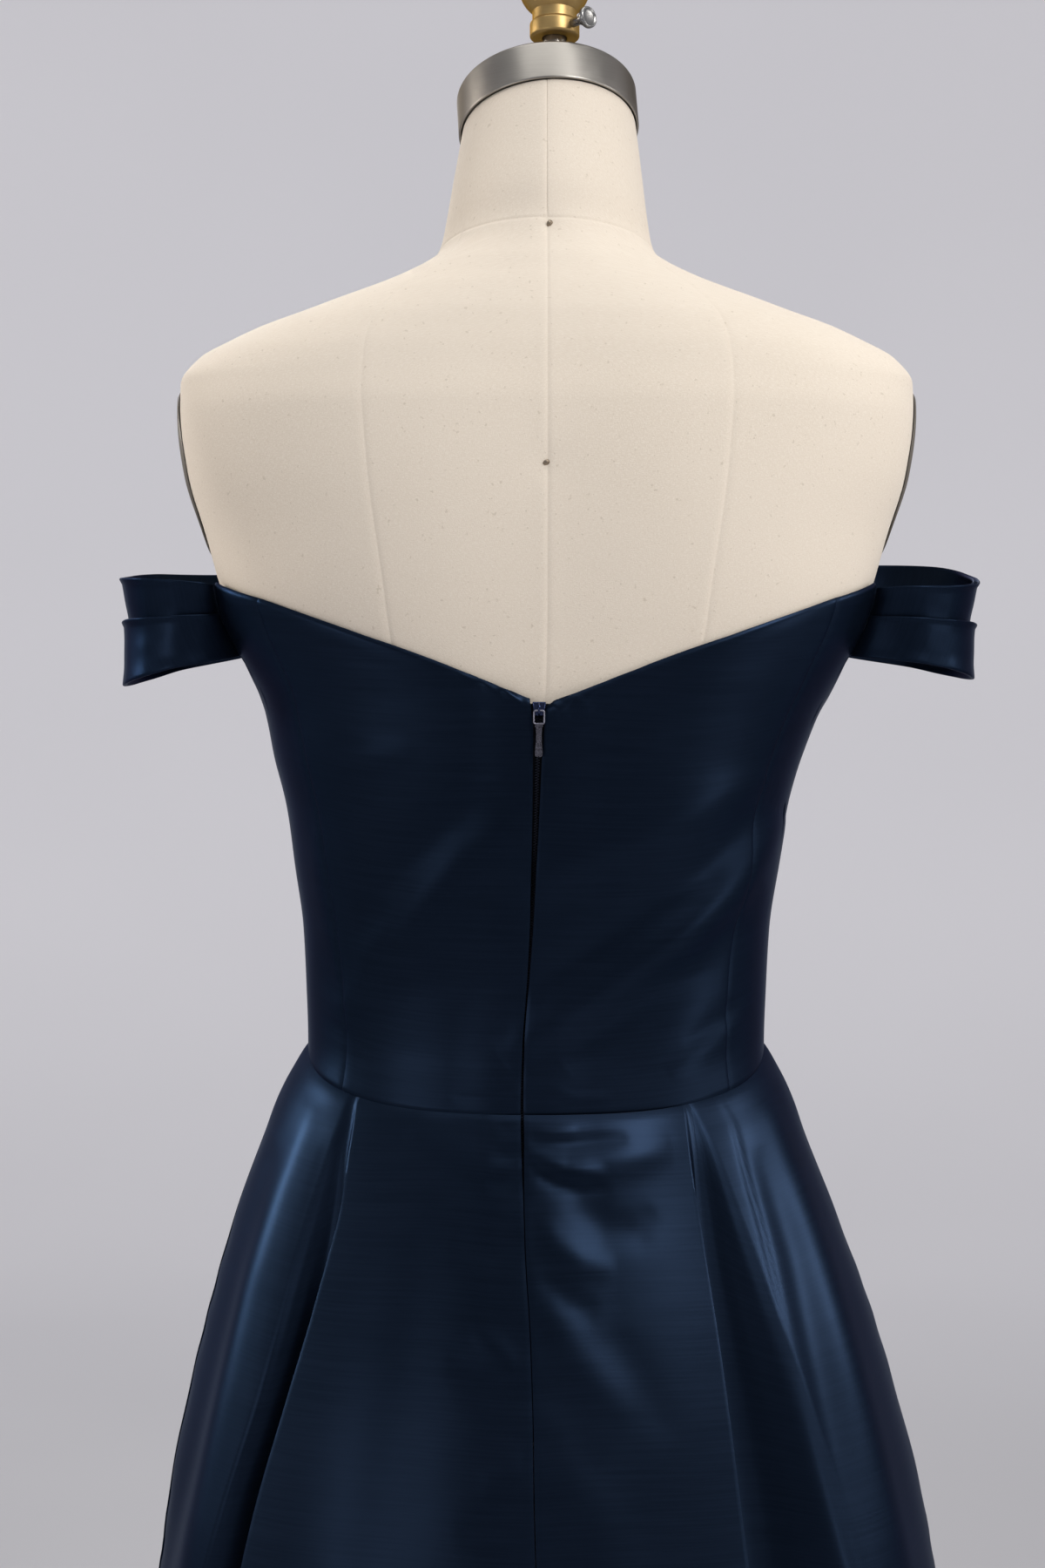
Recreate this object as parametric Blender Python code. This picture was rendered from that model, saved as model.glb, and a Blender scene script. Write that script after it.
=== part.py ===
# Off-the-shoulder A-line gown with a V back, on a limbless dress form.
# Metres, +Z up, origin on the floor under the post. The gown's front faces -Y and its zip faces +Y.
# Angles round the body are measured at the post's axis from the centre back (+Y) towards the wearer's left (+X).
import math

import bmesh
import bpy
from mathutils import Matrix, Vector

MM = 0.001

# Heights above the floor
WAIST_HEIGHT = 1.040
BACK_WAIST_DIP = 0.029
FRONT_WAIST_DIP = 0.012
HEM_HEIGHT = 0.012
FORM_BASE_HEIGHT = 0.770

# Cloth
CLOTH = 1.4 * MM
EASE = 2.3 * MM
SEAM_GAP = 0.3 * MM

# Zip line: distance to the wearer's left of the centre plane, and half the opening between the panels
ZIP_LINE = (
    (0.012, 6.0),
    (0.832, 5.4),
    (0.873, 4.8),
    (0.910, 4.9),
    (0.948, 5.6),
    (0.996, 6.0),
    (1.022, 6.6),
    (1.110, 2.1),
    (1.186, 0.5),
    (1.213, 2.2),
)
ZIP_OPENING = (
    (0.012, 0.15),
    (0.965, 0.15),
    (1.005, 0.9),
    (1.030, 0.6),
    (1.080, 0.8),
    (1.130, 1.2),
    (1.190, 2.6),
    (1.204, 4.3),
    (1.213, 5.0),
)

# Dress form, one row for each ring:
# height, half width, depth behind and in front of the ring's centre, centre's y, tilt in degrees, squareness
FORM_RINGS = (
    (0.770, 0.1400, 0.093, 0.082, 0.000, 0, 2.2),
    (0.785, 0.1460, 0.099, 0.087, 0.000, 0, 2.2),
    (0.830, 0.1505, 0.103, 0.090, 0.000, 0, 2.2),
    (0.880, 0.1480, 0.102, 0.089, 0.000, 0, 2.2),
    (0.930, 0.1390, 0.097, 0.087, 0.000, 0, 2.2),
    (0.980, 0.1255, 0.089, 0.083, 0.000, 0, 2.2),
    (1.020, 0.1167, 0.083, 0.079, 0.000, 0, 2.2),
    (1.040, 0.1148, 0.081, 0.078, 0.000, 0, 2.2),
    (1.070, 0.1158, 0.083, 0.080, 0.000, 0, 2.2),
    (1.100, 0.1174, 0.089, 0.085, 0.000, 0, 2.25),
    (1.130, 0.1216, 0.095, 0.094, 0.000, 0, 2.3),
    (1.160, 0.1258, 0.101, 0.105, 0.000, 0, 2.35),
    (1.190, 0.1337, 0.105, 0.113, 0.000, 0, 2.4),
    (1.210, 0.1397, 0.107, 0.113, 0.000, 0, 2.45),
    (1.230, 0.1490, 0.108, 0.110, 0.000, 0, 2.55),
    (1.250, 0.1590, 0.108, 0.104, 0.000, 0, 2.7),
    (1.275, 0.1672, 0.107, 0.096, 0.000, 0, 2.8),
    (1.300, 0.1737, 0.105, 0.090, 0.000, 0, 2.8),
    (1.330, 0.1828, 0.101, 0.083, 0.000, 0, 2.8),
    (1.360, 0.1873, 0.095, 0.076, 0.000, 0, 2.8),
    (1.378, 0.1880, 0.090, 0.071, -0.001, 0, 2.7),
    (1.390, 0.1798, 0.086, 0.068, -0.002, 1, 2.6),
    (1.3975, 0.1665, 0.083, 0.066, -0.003, 2, 2.5),
    (1.4045, 0.1520, 0.080, 0.064, -0.004, 3, 2.4),
    (1.4110, 0.1345, 0.077, 0.062, -0.006, 4, 2.3),
    (1.4180, 0.1165, 0.073, 0.060, -0.008, 5, 2.2),
    (1.4240, 0.1005, 0.069, 0.058, -0.010, 6, 2.1),
    (1.4300, 0.0845, 0.065, 0.057, -0.012, 8, 2.0),
    (1.4365, 0.0700, 0.061, 0.056, -0.015, 10, 2.0),
    (1.4430, 0.0600, 0.058, 0.055, -0.017, 12, 2.0),
    (1.4520, 0.0555, 0.0555, 0.054, -0.019, 14, 2.0),
    (1.4650, 0.0530, 0.0540, 0.0535, -0.021, 16, 2.0),
    (1.4900, 0.0497, 0.0515, 0.0515, -0.028, 19, 2.0),
    (1.5178, 0.0459, 0.0484, 0.0484, -0.035, 22, 2.0),
)
# The figure stands a little askew, and the skirt swings out to one side: height, shift to the wearer's left in mm
LEAN = (
    (0.012, -3.2),
    (0.767, -2.7),
    (0.812, -1.6),
    (0.857, -0.3),
    (0.905, 1.1),
    (0.950, 3.0),
    (0.990, 3.6),
    (1.040, 2.9),
    (1.100, 2.7),
    (1.180, 2.2),
    (1.205, 0.2),
    (1.222, -1.6),
    (1.260, -2.2),
    (1.452, -2.7),
    (1.518, -4.1),
)
FORM_COLUMNS = 44
FORM_LEVELS = (
    0.770, 0.785, 0.805, 0.830, 0.860, 0.890, 0.920, 0.950, 0.980, 1.005, 1.030, 1.055, 1.080, 1.105, 1.130, 1.155,
    1.180, 1.205, 1.230, 1.255, 1.280, 1.305, 1.330, 1.355, 1.370, 1.380, 1.388, 1.395, 1.403, 1.411, 1.419, 1.427,
    1.435, 1.443, 1.453, 1.467, 1.485, 1.5178,
)

# Soft forms on the figure: angle from the centre back, height, reach in degrees and in metres, rise
FORM_SWELLS = (
    (147, 1.188, 20, 0.040, 15 * MM),
    (213, 1.188, 20, 0.040, 15 * MM),
    (38, 1.300, 18, 0.050, 3 * MM),
    (322, 1.300, 18, 0.050, 3 * MM),
)

# Neck cap, stud, finial and thumb screw, along the neck's leaning axis
NECK_TILT = math.radians(22)
NECK_TOP = Vector((-0.0041, -0.035, 1.5178))
NECK_ROLL = math.radians(3.7)
NECK_FOOT = 1.452
CAP_RADIUS = 0.0478
CAP_DEPTH_SHARE = 1.056
CAP_WALL = 1.2 * MM
CAP_HEIGHT = 0.0230
CAP_OVERLAP = 0.0185
# The stud stands on the cap's rear part, more upright than the neck
STUD_FOOT = (-5.0 * MM, 33.0 * MM)
STUD_TILT = math.radians(8)
STUD_RADIUS = 6.0 * MM
STUD_HEIGHT = 0.026
COLLAR_RADIUS = 13.0 * MM
COLLAR_LIFT = 0.011
COLLAR_HEIGHT = 0.0145
COLLAR_BAND = 9.0 * MM
BALL_RADIUS = 0.019
SCREW_RADIUS = 2.3 * MM
SCREW_LEVEL = 5.0 * MM
SCREW_HEAD_RADIUS = 5.8 * MM
SCREW_HEADING = math.radians(135)

# Arm plates
PLATE_HALF_DEPTH = 0.043
PLATE_HALF_HEIGHT = 0.047
PLATE_CENTRE = (0.002, 1.332)
PLATE_GAP = 0.5 * MM
PLATE_EDGE = 1.2 * MM
PLATE_DOME = 0.9 * MM

# Post and base
POST_RADIUS = 0.016
FLANGE_RADIUS = 0.048
FLANGE_THICKNESS = 0.006
BASE_RADIUS = 0.180
BASE_THICKNESS = 0.010
HUB_RADIUS = 0.032
HUB_HEIGHT = 0.040

# Bodice's top edge: angle from the centre back, height
TOP_EDGE = (
    (0, 1.2129),
    (5, 1.2145),
    (11, 1.2193),
    (20, 1.2266),
    (41, 1.2446),
    (61, 1.2638),
    (75.0, 1.2745),
    (76.6, 1.2370),
    (82, 1.2235),
    (90, 1.2190),
    (98, 1.2235),
    (106.4, 1.2400),
    (108.0, 1.2830),
    (122, 1.2680),
    (147, 1.2470),
    (165, 1.2330),
    (180, 1.2210),
)
BACK_SEAM = ((0.0, 61), (0.5, 60), (1.0, 62))
# Half the gap at the bodice's seams, in degrees
SEAM_TURN = 0.1
BODICE_ROWS = 10
SIDE_BACK_STRETCHES = ((61, 75, 2), (75, 76.6, 1), (76.6, 82, 1), (82, 90, 1))
FRONT_COLUMNS = (90, 98, 106.4, 108, 112, 117, 123, 130, 138, 147, 156, 165, 172, 180)
# Where the straps hold the bodice away from the figure: angle, height, reach in degrees and in metres, rise
CORNER_FLARES = (
    (75, 1.258, 18, 0.044, 3.4 * MM),
    (285, 1.258, 18, 0.044, 1.6 * MM),
)

# Skirt: share of the way down, spread added at the side, the back and the front
SKIRT_SPREAD = (
    (0.000, 0.0000, 0.0000, 0.0000),
    (0.020, 0.0122, 0.0090, 0.0080),
    (0.047, 0.0230, 0.0200, 0.0180),
    (0.090, 0.0395, 0.0355, 0.0325),
    (0.134, 0.0543, 0.0495, 0.0450),
    (0.178, 0.0666, 0.0615, 0.0550),
    (0.222, 0.0772, 0.0720, 0.0640),
    (0.266, 0.0850, 0.0805, 0.0710),
    (0.380, 0.1050, 0.1010, 0.0900),
    (0.525, 0.1350, 0.1310, 0.1170),
    (0.720, 0.1750, 0.1730, 0.1550),
    (1.000, 0.2280, 0.2380, 0.2150),
)
SKIRT_ROWS = (0, 0.007, 0.016, 0.028, 0.045, 0.068, 0.098, 0.134, 0.178, 0.230, 0.295, 0.380, 0.490, 0.620, 0.770, 1)

# Deep pleats: share of the way down, angle of the crisp edge and of the rolled ridge, for each pleat
PLEAT_DEPTH = ((0, 0.5), (0.02, 2.2), (0.045, 6), (0.09, 13), (0.15, 21), (0.23, 29), (0.35, 43), (0.525, 54), (1, 62))
PLEATS = {
    "back_left": (
        (0.00, 55.0, 58.5),
        (0.02, 51.4, 56.8),
        (0.06, 48.6, 57.3),
        (0.10, 49.4, 57.4),
        (0.14, 50.9, 57.8),
        (0.20, 53.5, 60.7),
        (0.27, 55.0, 64.0),
        (1.00, 50.0, 69.0),
    ),
    "back_right": (
        (0.00, 45.0, 48.5),
        (0.02, 42.6, 49.6),
        (0.06, 40.0, 50.8),
        (0.10, 37.8, 52.0),
        (0.14, 36.3, 54.0),
        (0.20, 34.8, 56.4),
        (0.27, 34.0, 58.0),
        (1.00, 30.0, 62.0),
    ),
    "front_left": ((0, 140, 136), (0.03, 142, 133), (0.09, 143, 130), (0.13, 143, 128), (0.23, 143, 126), (1, 146, 121)),
    "front_right": ((0, 141, 137), (0.03, 143, 134), (0.09, 144, 131), (0.13, 144, 129), (0.23, 145, 127), (1, 149, 120)),
}
# One pleat from its crisp edge to its ridge: share of the width, share of the depth, share of the undercut
PLEAT_PROFILE = (
    (0.00, 0.00, 0.0),
    (0.04, 0.30, 0.7),
    (0.08, 0.68, 1.0),
    (0.19, 0.93, 0.6),
    (0.34, 1.00, 0.1),
    (0.50, 0.93, 0.0),
    (0.62, 0.72, 0.0),
    (0.72, 0.42, 0.0),
    (0.84, 0.14, 0.0),
    (1.00, 0.00, 0.0),
)
UNDERCUT = 0.30
SHALLOW_PLEAT = 9 * MM
TUCKED_PLEAT = 20 * MM

# Soft folds that run down the skirt: angle at the waist and the hem, reach in degrees, depth at the hem, start
SOFT_FOLDS = (
    (24, 22, 13, 10, 0.22),
    (-6, -10, 10, 9, 0.20),
    (76, 80, 9, 20, 0.06),
    (96, 100, 8, 17, 0.20),
    (112, 110, 8, 15, 0.16),
    (160, 163, 10, 12, 0.20),
    (182, 184, 8, 10, 0.30),
    (200, 199, 10, 13, 0.20),
    (249, 251, 8, 17, 0.15),
    (266, 263, 8, 18, 0.22),
    (284, 280, 9, 20, 0.06),
)

# Strap bands, one row for each point from the back seam to the front seam:
# share of the way, distance out from the centre plane, y
STRAP_ROUTE = (
    (0.00, 0.1695, 0.0460),
    (0.12, 0.1820, 0.0475),
    (0.28, 0.2020, 0.0400),
    (0.42, 0.2155, 0.0210),
    (0.52, 0.2190, 0.0010),
    (0.62, 0.2155, -0.0190),
    (0.75, 0.2030, -0.0390),
    (0.90, 0.1820, -0.0510),
    (1.00, 0.1685, -0.0530),
)
# Heights of each band: share of the way, top edge, bottom edge
STRAP_BANDS = {
    ("left", "upper"): ((0, 1.2735, 1.2470), (0.25, 1.2765, 1.2450), (0.5, 1.2790, 1.2440), (1, 1.2825, 1.2500)),
    ("left", "lower"): ((0, 1.2590, 1.2378), (0.25, 1.2575, 1.2285), (0.5, 1.2570, 1.2235), (1, 1.2640, 1.2420)),
    ("right", "upper"): ((0, 1.2720, 1.2470), (0.25, 1.2730, 1.2450), (0.5, 1.2793, 1.2460), (1, 1.2825, 1.2500)),
    ("right", "lower"): ((0, 1.2580, 1.2378), (0.25, 1.2565, 1.2320), (0.5, 1.2555, 1.2270), (1, 1.2640, 1.2420)),
}
STRAP_REACH = {"left": -0.0018, "right": 0.0019}
STRAP_THICKNESS = 2.0 * MM
# How far each band stands out from the strap's route, from its bottom edge to its top edge, in mm
STRAP_OFFSETS = {"upper": (-3.4, -3.0, -0.8, 1.6), "lower": (0.3, -0.8, -0.7, 0.2)}
# The same at the ends, counted from the corner edge that the band is sewn to
STRAP_END_OFFSETS = {"upper": (-3.0, -3.0, -2.8, -0.2), "lower": (0.0, 0.0, 0.0, 0.0)}
# Corner edges of the bodice, upper and lower end: angle, height
STRAP_CORNERS = {
    "back": ((75.0, 1.2745), (76.6, 1.2370)),
    "front": ((108.0, 1.2830), (106.4, 1.2400)),
}
STRAP_OUTSIDE = 1.2 * MM
STRAP_BEHIND = 1.25 * MM
STRAP_TURN = 0.2

# Zip
TAPE_HALF_WIDTH = 0.011
TAPE_THICKNESS = 0.8 * MM
TAPE_UNDER_PANELS = 2.0 * MM
ZIP_LIFT = 1.7 * MM
TAPE_HEIGHTS = (
    0.862, 0.885, 0.908, 0.930, 0.948, 0.965, 0.977, 0.986, 0.995, 1.004, 1.0095, 1.0125, 1.022, 1.034, 1.046, 1.060,
    1.080, 1.100, 1.120, 1.140, 1.160, 1.180, 1.197, 1.2117,
)
SLIDER_HEIGHT = 1.2092
SLIDER_SIZE = Vector((6.8 * MM, 2.2 * MM, 6.8 * MM))
BRIDGE_REACH = 2.5 * MM
BRIDGE_RISE = 2.9 * MM
BRIDGE_BAR = 1.1 * MM
WIRE = 0.9 * MM
# Pull tab, from its hinge down: height, half width, and whether the middle and the sides are solid
TAB_ROWS = (
    (0.45, 2.5, True, True),
    (-0.45, 2.5, False, True),
    (-5.2, 2.5, True, True),
    (-6.4, 2.5, True, False),
    (-7.6, 1.3, True, False),
    (-13.0, 1.5, True, False),
    (-18.0, 1.8, True, False),
    (-20.4, 2.0, True, False),
    (-21.2, 1.5, False, False),
)


def value_at(knots, at, column=1):
    """A column of the table, read by a smooth curve that never overshoots its rows."""
    xs = [row[0] for row in knots]
    ys = [row[column] for row in knots]
    if at <= xs[0]:
        return ys[0]
    if at >= xs[-1]:
        return ys[-1]
    slopes = [(ys[i + 1] - ys[i]) / (xs[i + 1] - xs[i]) for i in range(len(xs) - 1)]
    bends = [slopes[0]]
    for before, after in zip(slopes, slopes[1:]):
        bends.append(0.0 if before * after <= 0 else 2 * before * after / (before + after))
    bends.append(slopes[-1])
    i = max(k for k in range(len(xs) - 1) if xs[k] <= at)
    width = xs[i + 1] - xs[i]
    s = (at - xs[i]) / width
    rise = ys[i + 1] - ys[i]
    start, end = bends[i] * width, bends[i + 1] * width
    return ys[i] + s * start + s * s * (3 * rise - 2 * start - end) + s * s * s * (start + end - 2 * rise)


def blend(low, high, share):
    return low + (high - low) * share


def turn_between(angle, centre):
    """The smallest turn from one angle to the other, in degrees."""
    return (angle - centre + 180) % 360 - 180


def soft_bump(distance, reach):
    """1 in the middle and 0 past the reach, with no corner."""
    share = min(1.0, abs(distance) / reach)
    return 0.5 + 0.5 * math.cos(math.pi * share)


def form_radius(angle, height):
    """From the ring's centre to the form's surface."""
    half_width = value_at(FORM_RINGS, height, 1)
    depth = value_at(FORM_RINGS, height, 2 if math.cos(math.radians(angle)) > 0 else 3)
    power = value_at(FORM_RINGS, height, 6)
    across = abs(math.sin(math.radians(angle))) / half_width
    along = abs(math.cos(math.radians(angle))) / depth
    radius = (across**power + along**power) ** (-1 / power)
    for centre, level, reach, spread, rise in FORM_SWELLS:
        away = math.hypot(turn_between(angle, centre) / reach, (height - level) / spread)
        radius += rise * math.exp(-away * away / 2)
    return radius


def around(angle, radius, height):
    """A point at the angle and radius from the figure's slightly leaning axis."""
    turn = math.radians(angle)
    return Vector((radius * math.sin(turn) + value_at(LEAN, height) * MM, radius * math.cos(turn), height))


def form_point(angle, level):
    """A point of the form's skin. The rings lean forward towards the neck."""
    tilt = math.radians(value_at(FORM_RINGS, level, 5))
    roll = NECK_ROLL * max(0.0, (level - NECK_FOOT) / (NECK_TOP.z - NECK_FOOT))
    centre = Vector((value_at(LEAN, level) * MM, 0, level))
    flat = around(angle, form_radius(angle, level), level) - centre
    leaning = Matrix.Rotation(roll, 3, "Y") @ Matrix.Rotation(tilt, 3, "X") @ flat
    return leaning + centre + Vector((0, value_at(FORM_RINGS, level, 4), 0))


def zip_lift(angle, height):
    """The panels stand a little further out where the zip tape lies under them."""
    line = value_at(ZIP_LINE, height) * MM
    sideways = abs(form_radius(0, height) * math.radians(turn_between(angle, 0)) - line)
    return ZIP_LIFT * soft_bump(max(0.0, sideways - 0.9 * TAPE_HALF_WIDTH), 2.2 * TAPE_HALF_WIDTH)


def bridge_lift(angle, height):
    """The front spans the hollow between the bust cups."""
    fade = soft_bump(height - 1.195, 0.10)
    return 7 * MM * fade * soft_bump(turn_between(angle, 180), 26)


def corner_flare(angle, height):
    """The bodice stands off the figure at the corners that the straps pull on."""
    lift = 0.0
    for centre, level, reach, spread, rise in CORNER_FLARES:
        lift += rise * soft_bump(turn_between(angle, centre), reach) * soft_bump(height - level, spread)
    return lift


def bodice_radius(angle, height):
    """From the axis to the middle of the bodice's wall."""
    lifts = zip_lift(angle, height) + bridge_lift(angle, height) + corner_flare(angle, height)
    return form_radius(angle, height) + EASE + lifts


def waist_height(angle):
    """The waist seam falls quickly from the side seams, and runs nearly level across the back and the front."""
    facing = math.cos(math.radians(angle))
    dip = BACK_WAIST_DIP if facing > 0 else FRONT_WAIST_DIP
    return WAIST_HEIGHT - dip * (1 - (1 - abs(facing)) ** 1.85)


def top_height(angle):
    """The bodice's top edge. Its strap corners are sharp, so they are straight between rows there."""
    side = abs(turn_between(angle, 0))
    rows = TOP_EDGE
    i = max(k for k in range(len(rows) - 1) if rows[k][0] <= side)
    share = (side - rows[i][0]) / (rows[i + 1][0] - rows[i][0])
    return blend(rows[i][1], rows[i + 1][1], share)


def zip_angle(height, side):
    """Angle of a panel's edge at the zip line; side is 1 on the wearer's left and -1 on the right."""
    across = value_at(ZIP_LINE, height) * MM + side * value_at(ZIP_OPENING, height) * MM
    return math.degrees(across / form_radius(0, min(height, WAIST_HEIGHT) if height > 0.98 else 0.98))


def make_material(name, colour, roughness, metallic=0.0):
    made = bpy.data.materials.new(name)
    made.use_nodes = True
    shader = made.node_tree.nodes["Principled BSDF"]
    shader.inputs["Base Color"].default_value = (*colour, 1.0)
    shader.inputs["Roughness"].default_value = roughness
    shader.inputs["Metallic"].default_value = metallic
    return made


def finished(name, mesh, material, smooth=True):
    """A named object with its mesh and finish."""
    data = bpy.data.meshes.new(name)
    mesh.to_mesh(data)
    mesh.free()
    data.materials.append(material)
    if smooth:
        data.shade_smooth()
        data.set_sharp_from_angle(angle=math.radians(50))
    made = bpy.data.objects.new(name, data)
    bpy.context.scene.collection.objects.link(made)
    return made


def sheet_mesh(across, along, point):
    """A grid of across by along cells, its corner (i, j) placed at point(i, j)."""
    mesh = bmesh.new()
    bmesh.ops.create_grid(mesh, x_segments=across, y_segments=along, size=1.0)
    for vertex in mesh.verts:
        i = round((vertex.co.x + 1) / 2 * across)
        j = round((vertex.co.y + 1) / 2 * along)
        vertex.co = point(i, j)
    return mesh


def cloth(name, across, along, point, material, thickness):
    """A closed wall of cloth about a grid of points. Its top and bottom edges are cut level, so that seams meet."""
    mesh = bmesh.new()
    bmesh.ops.create_grid(mesh, x_segments=across, y_segments=along, size=1.0)
    offset = mesh.verts.layers.float_vector.new("offset")
    ends = []
    for vertex in mesh.verts:
        i = round((vertex.co.x + 1) / 2 * across)
        j = round((vertex.co.y + 1) / 2 * along)
        vertex.co = point(i, j)
        if j in (0, along):
            ends.append(vertex)
    mesh.normal_update()
    for vertex in mesh.verts:
        vertex[offset] = vertex.normal * thickness / 2
    for vertex in ends:
        level = Vector((vertex.normal.x, vertex.normal.y, 0))
        vertex[offset] = level.normalized() * thickness / 2
    grown = bmesh.ops.extrude_face_region(mesh, geom=mesh.faces[:])
    outer = {item for item in grown["geom"] if isinstance(item, bmesh.types.BMVert)}
    for vertex in mesh.verts:
        vertex.co += vertex[offset] if vertex in outer else -vertex[offset]
    bmesh.ops.recalc_face_normals(mesh, faces=mesh.faces)
    return finished(name, mesh, material)


def closed_tube(rings):
    """A tube through rings of points, its seam merged and both ends capped."""
    columns = len(rings[0])
    mesh = sheet_mesh(columns, len(rings) - 1, lambda i, j: rings[j][i % columns])
    bmesh.ops.remove_doubles(mesh, verts=mesh.verts, dist=0.01 * MM)
    open_edges = [edge for edge in mesh.edges if edge.is_boundary]
    bmesh.ops.holes_fill(mesh, edges=open_edges)
    bmesh.ops.recalc_face_normals(mesh, faces=mesh.faces)
    return mesh


def turned(profile, steps):
    """A profile of (radius, height) points spun round the Z axis into a closed solid."""
    mesh = bmesh.new()
    points = [mesh.verts.new((radius, 0, height)) for radius, height in profile]
    edges = [mesh.edges.new(pair) for pair in zip(points, points[1:])]
    bmesh.ops.spin(
        mesh,
        geom=points + edges,
        cent=(0, 0, 0),
        axis=(0, 0, 1),
        angle=math.tau,
        steps=steps,
        use_merge=True,
        use_duplicate=False,
    )
    bmesh.ops.remove_doubles(mesh, verts=mesh.verts, dist=0.01 * MM)
    bmesh.ops.recalc_face_normals(mesh, faces=mesh.faces)
    return mesh


def neck_frame(lift=0.0):
    """Placement on the neck's leaning axis, lifted along it."""
    lean = Matrix.Rotation(NECK_ROLL, 4, "Y") @ Matrix.Rotation(NECK_TILT, 4, "X")
    return Matrix.Translation(NECK_TOP) @ lean @ Matrix.Translation((0, 0, lift))


def make_torso(material):
    """The linen-covered figure from the hips to inside the neck cap."""
    step = 360 / FORM_COLUMNS
    rings = [[form_point(step * i, level) for i in range(FORM_COLUMNS)] for level in FORM_LEVELS]
    inside = neck_frame(CAP_OVERLAP)
    shrink = 0.998
    top = []
    for i in range(FORM_COLUMNS):
        turn = math.radians(step * i)
        radius = form_radius(step * i, FORM_LEVELS[-1]) * shrink
        top.append(inside @ Vector((radius * math.sin(turn), radius * math.cos(turn), 0)))
    rings.append(top)
    return finished("form_torso", closed_tube(rings), material)


def make_neck_cap(material):
    """Steel cup over the neck's end, with the stud that carries the finial."""
    inner = CAP_RADIUS - CAP_WALL
    roof = CAP_OVERLAP + 0.5 * MM
    top = CAP_HEIGHT
    profile = (
        (0.0, roof),
        (inner, roof),
        (inner, 0.0),
        (CAP_RADIUS, 0.0),
        (CAP_RADIUS, top - 1.0 * MM),
        (CAP_RADIUS - 1.0 * MM, top),
        (0.0, top),
    )
    mesh = turned(profile, steps=44)
    bmesh.ops.scale(mesh, vec=(1, CAP_DEPTH_SHARE, 1), verts=mesh.verts)
    cap = finished("form_neck_cap", mesh, material)
    cap.matrix_world = neck_frame()

    post = (
        (0.0, -1.5 * MM),
        (STUD_RADIUS, -1.5 * MM),
        (STUD_RADIUS, STUD_HEIGHT - 1.0 * MM),
        (STUD_RADIUS - 1.0 * MM, STUD_HEIGHT),
        (0.0, STUD_HEIGHT),
    )
    stud = finished("neck_stud", turned(post, steps=20), material)
    stud.matrix_world = stud_frame()
    combine(cap, stud, "UNION")
    return cap


def stud_frame(lift=0.0):
    """On the stud's axis, at the given height above the cap."""
    foot = neck_frame(CAP_HEIGHT) @ Vector((*STUD_FOOT, 0))
    return Matrix.Translation(foot) @ Matrix.Rotation(STUD_TILT, 4, "X") @ Matrix.Translation((0, 0, lift))


def screw_frame():
    """The thumb screw's axis points out of the collar, away from the stud."""
    heading = Matrix.Rotation(SCREW_HEADING, 4, "Z") @ Matrix.Rotation(math.radians(90), 4, "Y")
    return stud_frame(COLLAR_LIFT + SCREW_LEVEL) @ heading


def combine(target, tool, operation):
    """Joins the tool to the target, or cuts it out."""
    tool.hide_render = True
    tool.display_type = "WIRE"
    step = target.modifiers.new(operation.title(), "BOOLEAN")
    step.operation = operation
    step.solver = "EXACT"
    step.object = tool


def make_finial(material):
    """Brass collar and ball, bored for the stud and for the thumb screw."""
    bore = STUD_RADIUS + 0.4 * MM
    bore_top = STUD_HEIGHT - COLLAR_LIFT + 0.3 * MM
    throat = COLLAR_RADIUS - 1.3 * MM
    centre = COLLAR_HEIGHT + math.sqrt(BALL_RADIUS**2 - throat**2)
    profile = [
        (0.0, bore_top),
        (bore, bore_top),
        (bore, 0.0),
        (COLLAR_RADIUS - 0.6 * MM, 0.0),
        (COLLAR_RADIUS, 0.7 * MM),
        (COLLAR_RADIUS, COLLAR_BAND - 0.5 * MM),
        (throat, COLLAR_BAND + 0.5 * MM),
        (throat, COLLAR_HEIGHT),
    ]
    start = math.asin(throat / BALL_RADIUS)
    arc = 9
    for k in range(1, arc):
        angle = math.pi - start - (math.pi - start) * k / arc
        profile.append((BALL_RADIUS * math.sin(angle), centre + BALL_RADIUS * math.cos(angle)))
    profile.append((0.0, centre + BALL_RADIUS))
    made = finished("form_finial", turned(profile, steps=28), material)
    made.matrix_world = stud_frame(COLLAR_LIFT)

    hole = bmesh.new()
    near, far = 3.2 * MM, COLLAR_RADIUS + 4 * MM
    size = SCREW_RADIUS + 0.4 * MM
    bmesh.ops.create_cone(hole, cap_ends=True, segments=20, radius1=size, radius2=size, depth=far - near)
    bmesh.ops.translate(hole, vec=(0, 0, (near + far) / 2), verts=hole.verts)
    cutter = finished("screw_hole", hole, material)
    cutter.matrix_world = screw_frame()
    combine(made, cutter, "DIFFERENCE")
    return made


def make_thumb_screw(material):
    """Screw with a shoulder and a dished disc for a head."""
    tip = STUD_RADIUS + 0.3 * MM
    shoulder = COLLAR_RADIUS + 6.0 * MM
    head = shoulder + 3.4 * MM
    profile = (
        (0.0, tip),
        (SCREW_RADIUS, tip),
        (SCREW_RADIUS, shoulder),
        (SCREW_RADIUS + 1.0 * MM, shoulder + 0.8 * MM),
        (SCREW_RADIUS + 1.0 * MM, head - 0.6 * MM),
        (SCREW_HEAD_RADIUS - 0.7 * MM, head),
        (SCREW_HEAD_RADIUS, head + 0.7 * MM),
        (SCREW_HEAD_RADIUS, head + 2.4 * MM),
        (SCREW_HEAD_RADIUS - 0.8 * MM, head + 3.1 * MM),
        (SCREW_HEAD_RADIUS - 2.0 * MM, head + 2.5 * MM),
        (0.0, head + 2.1 * MM),
    )
    made = finished("form_thumb_screw", turned(profile, steps=18), material)
    made.matrix_world = screw_frame()
    return made


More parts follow.
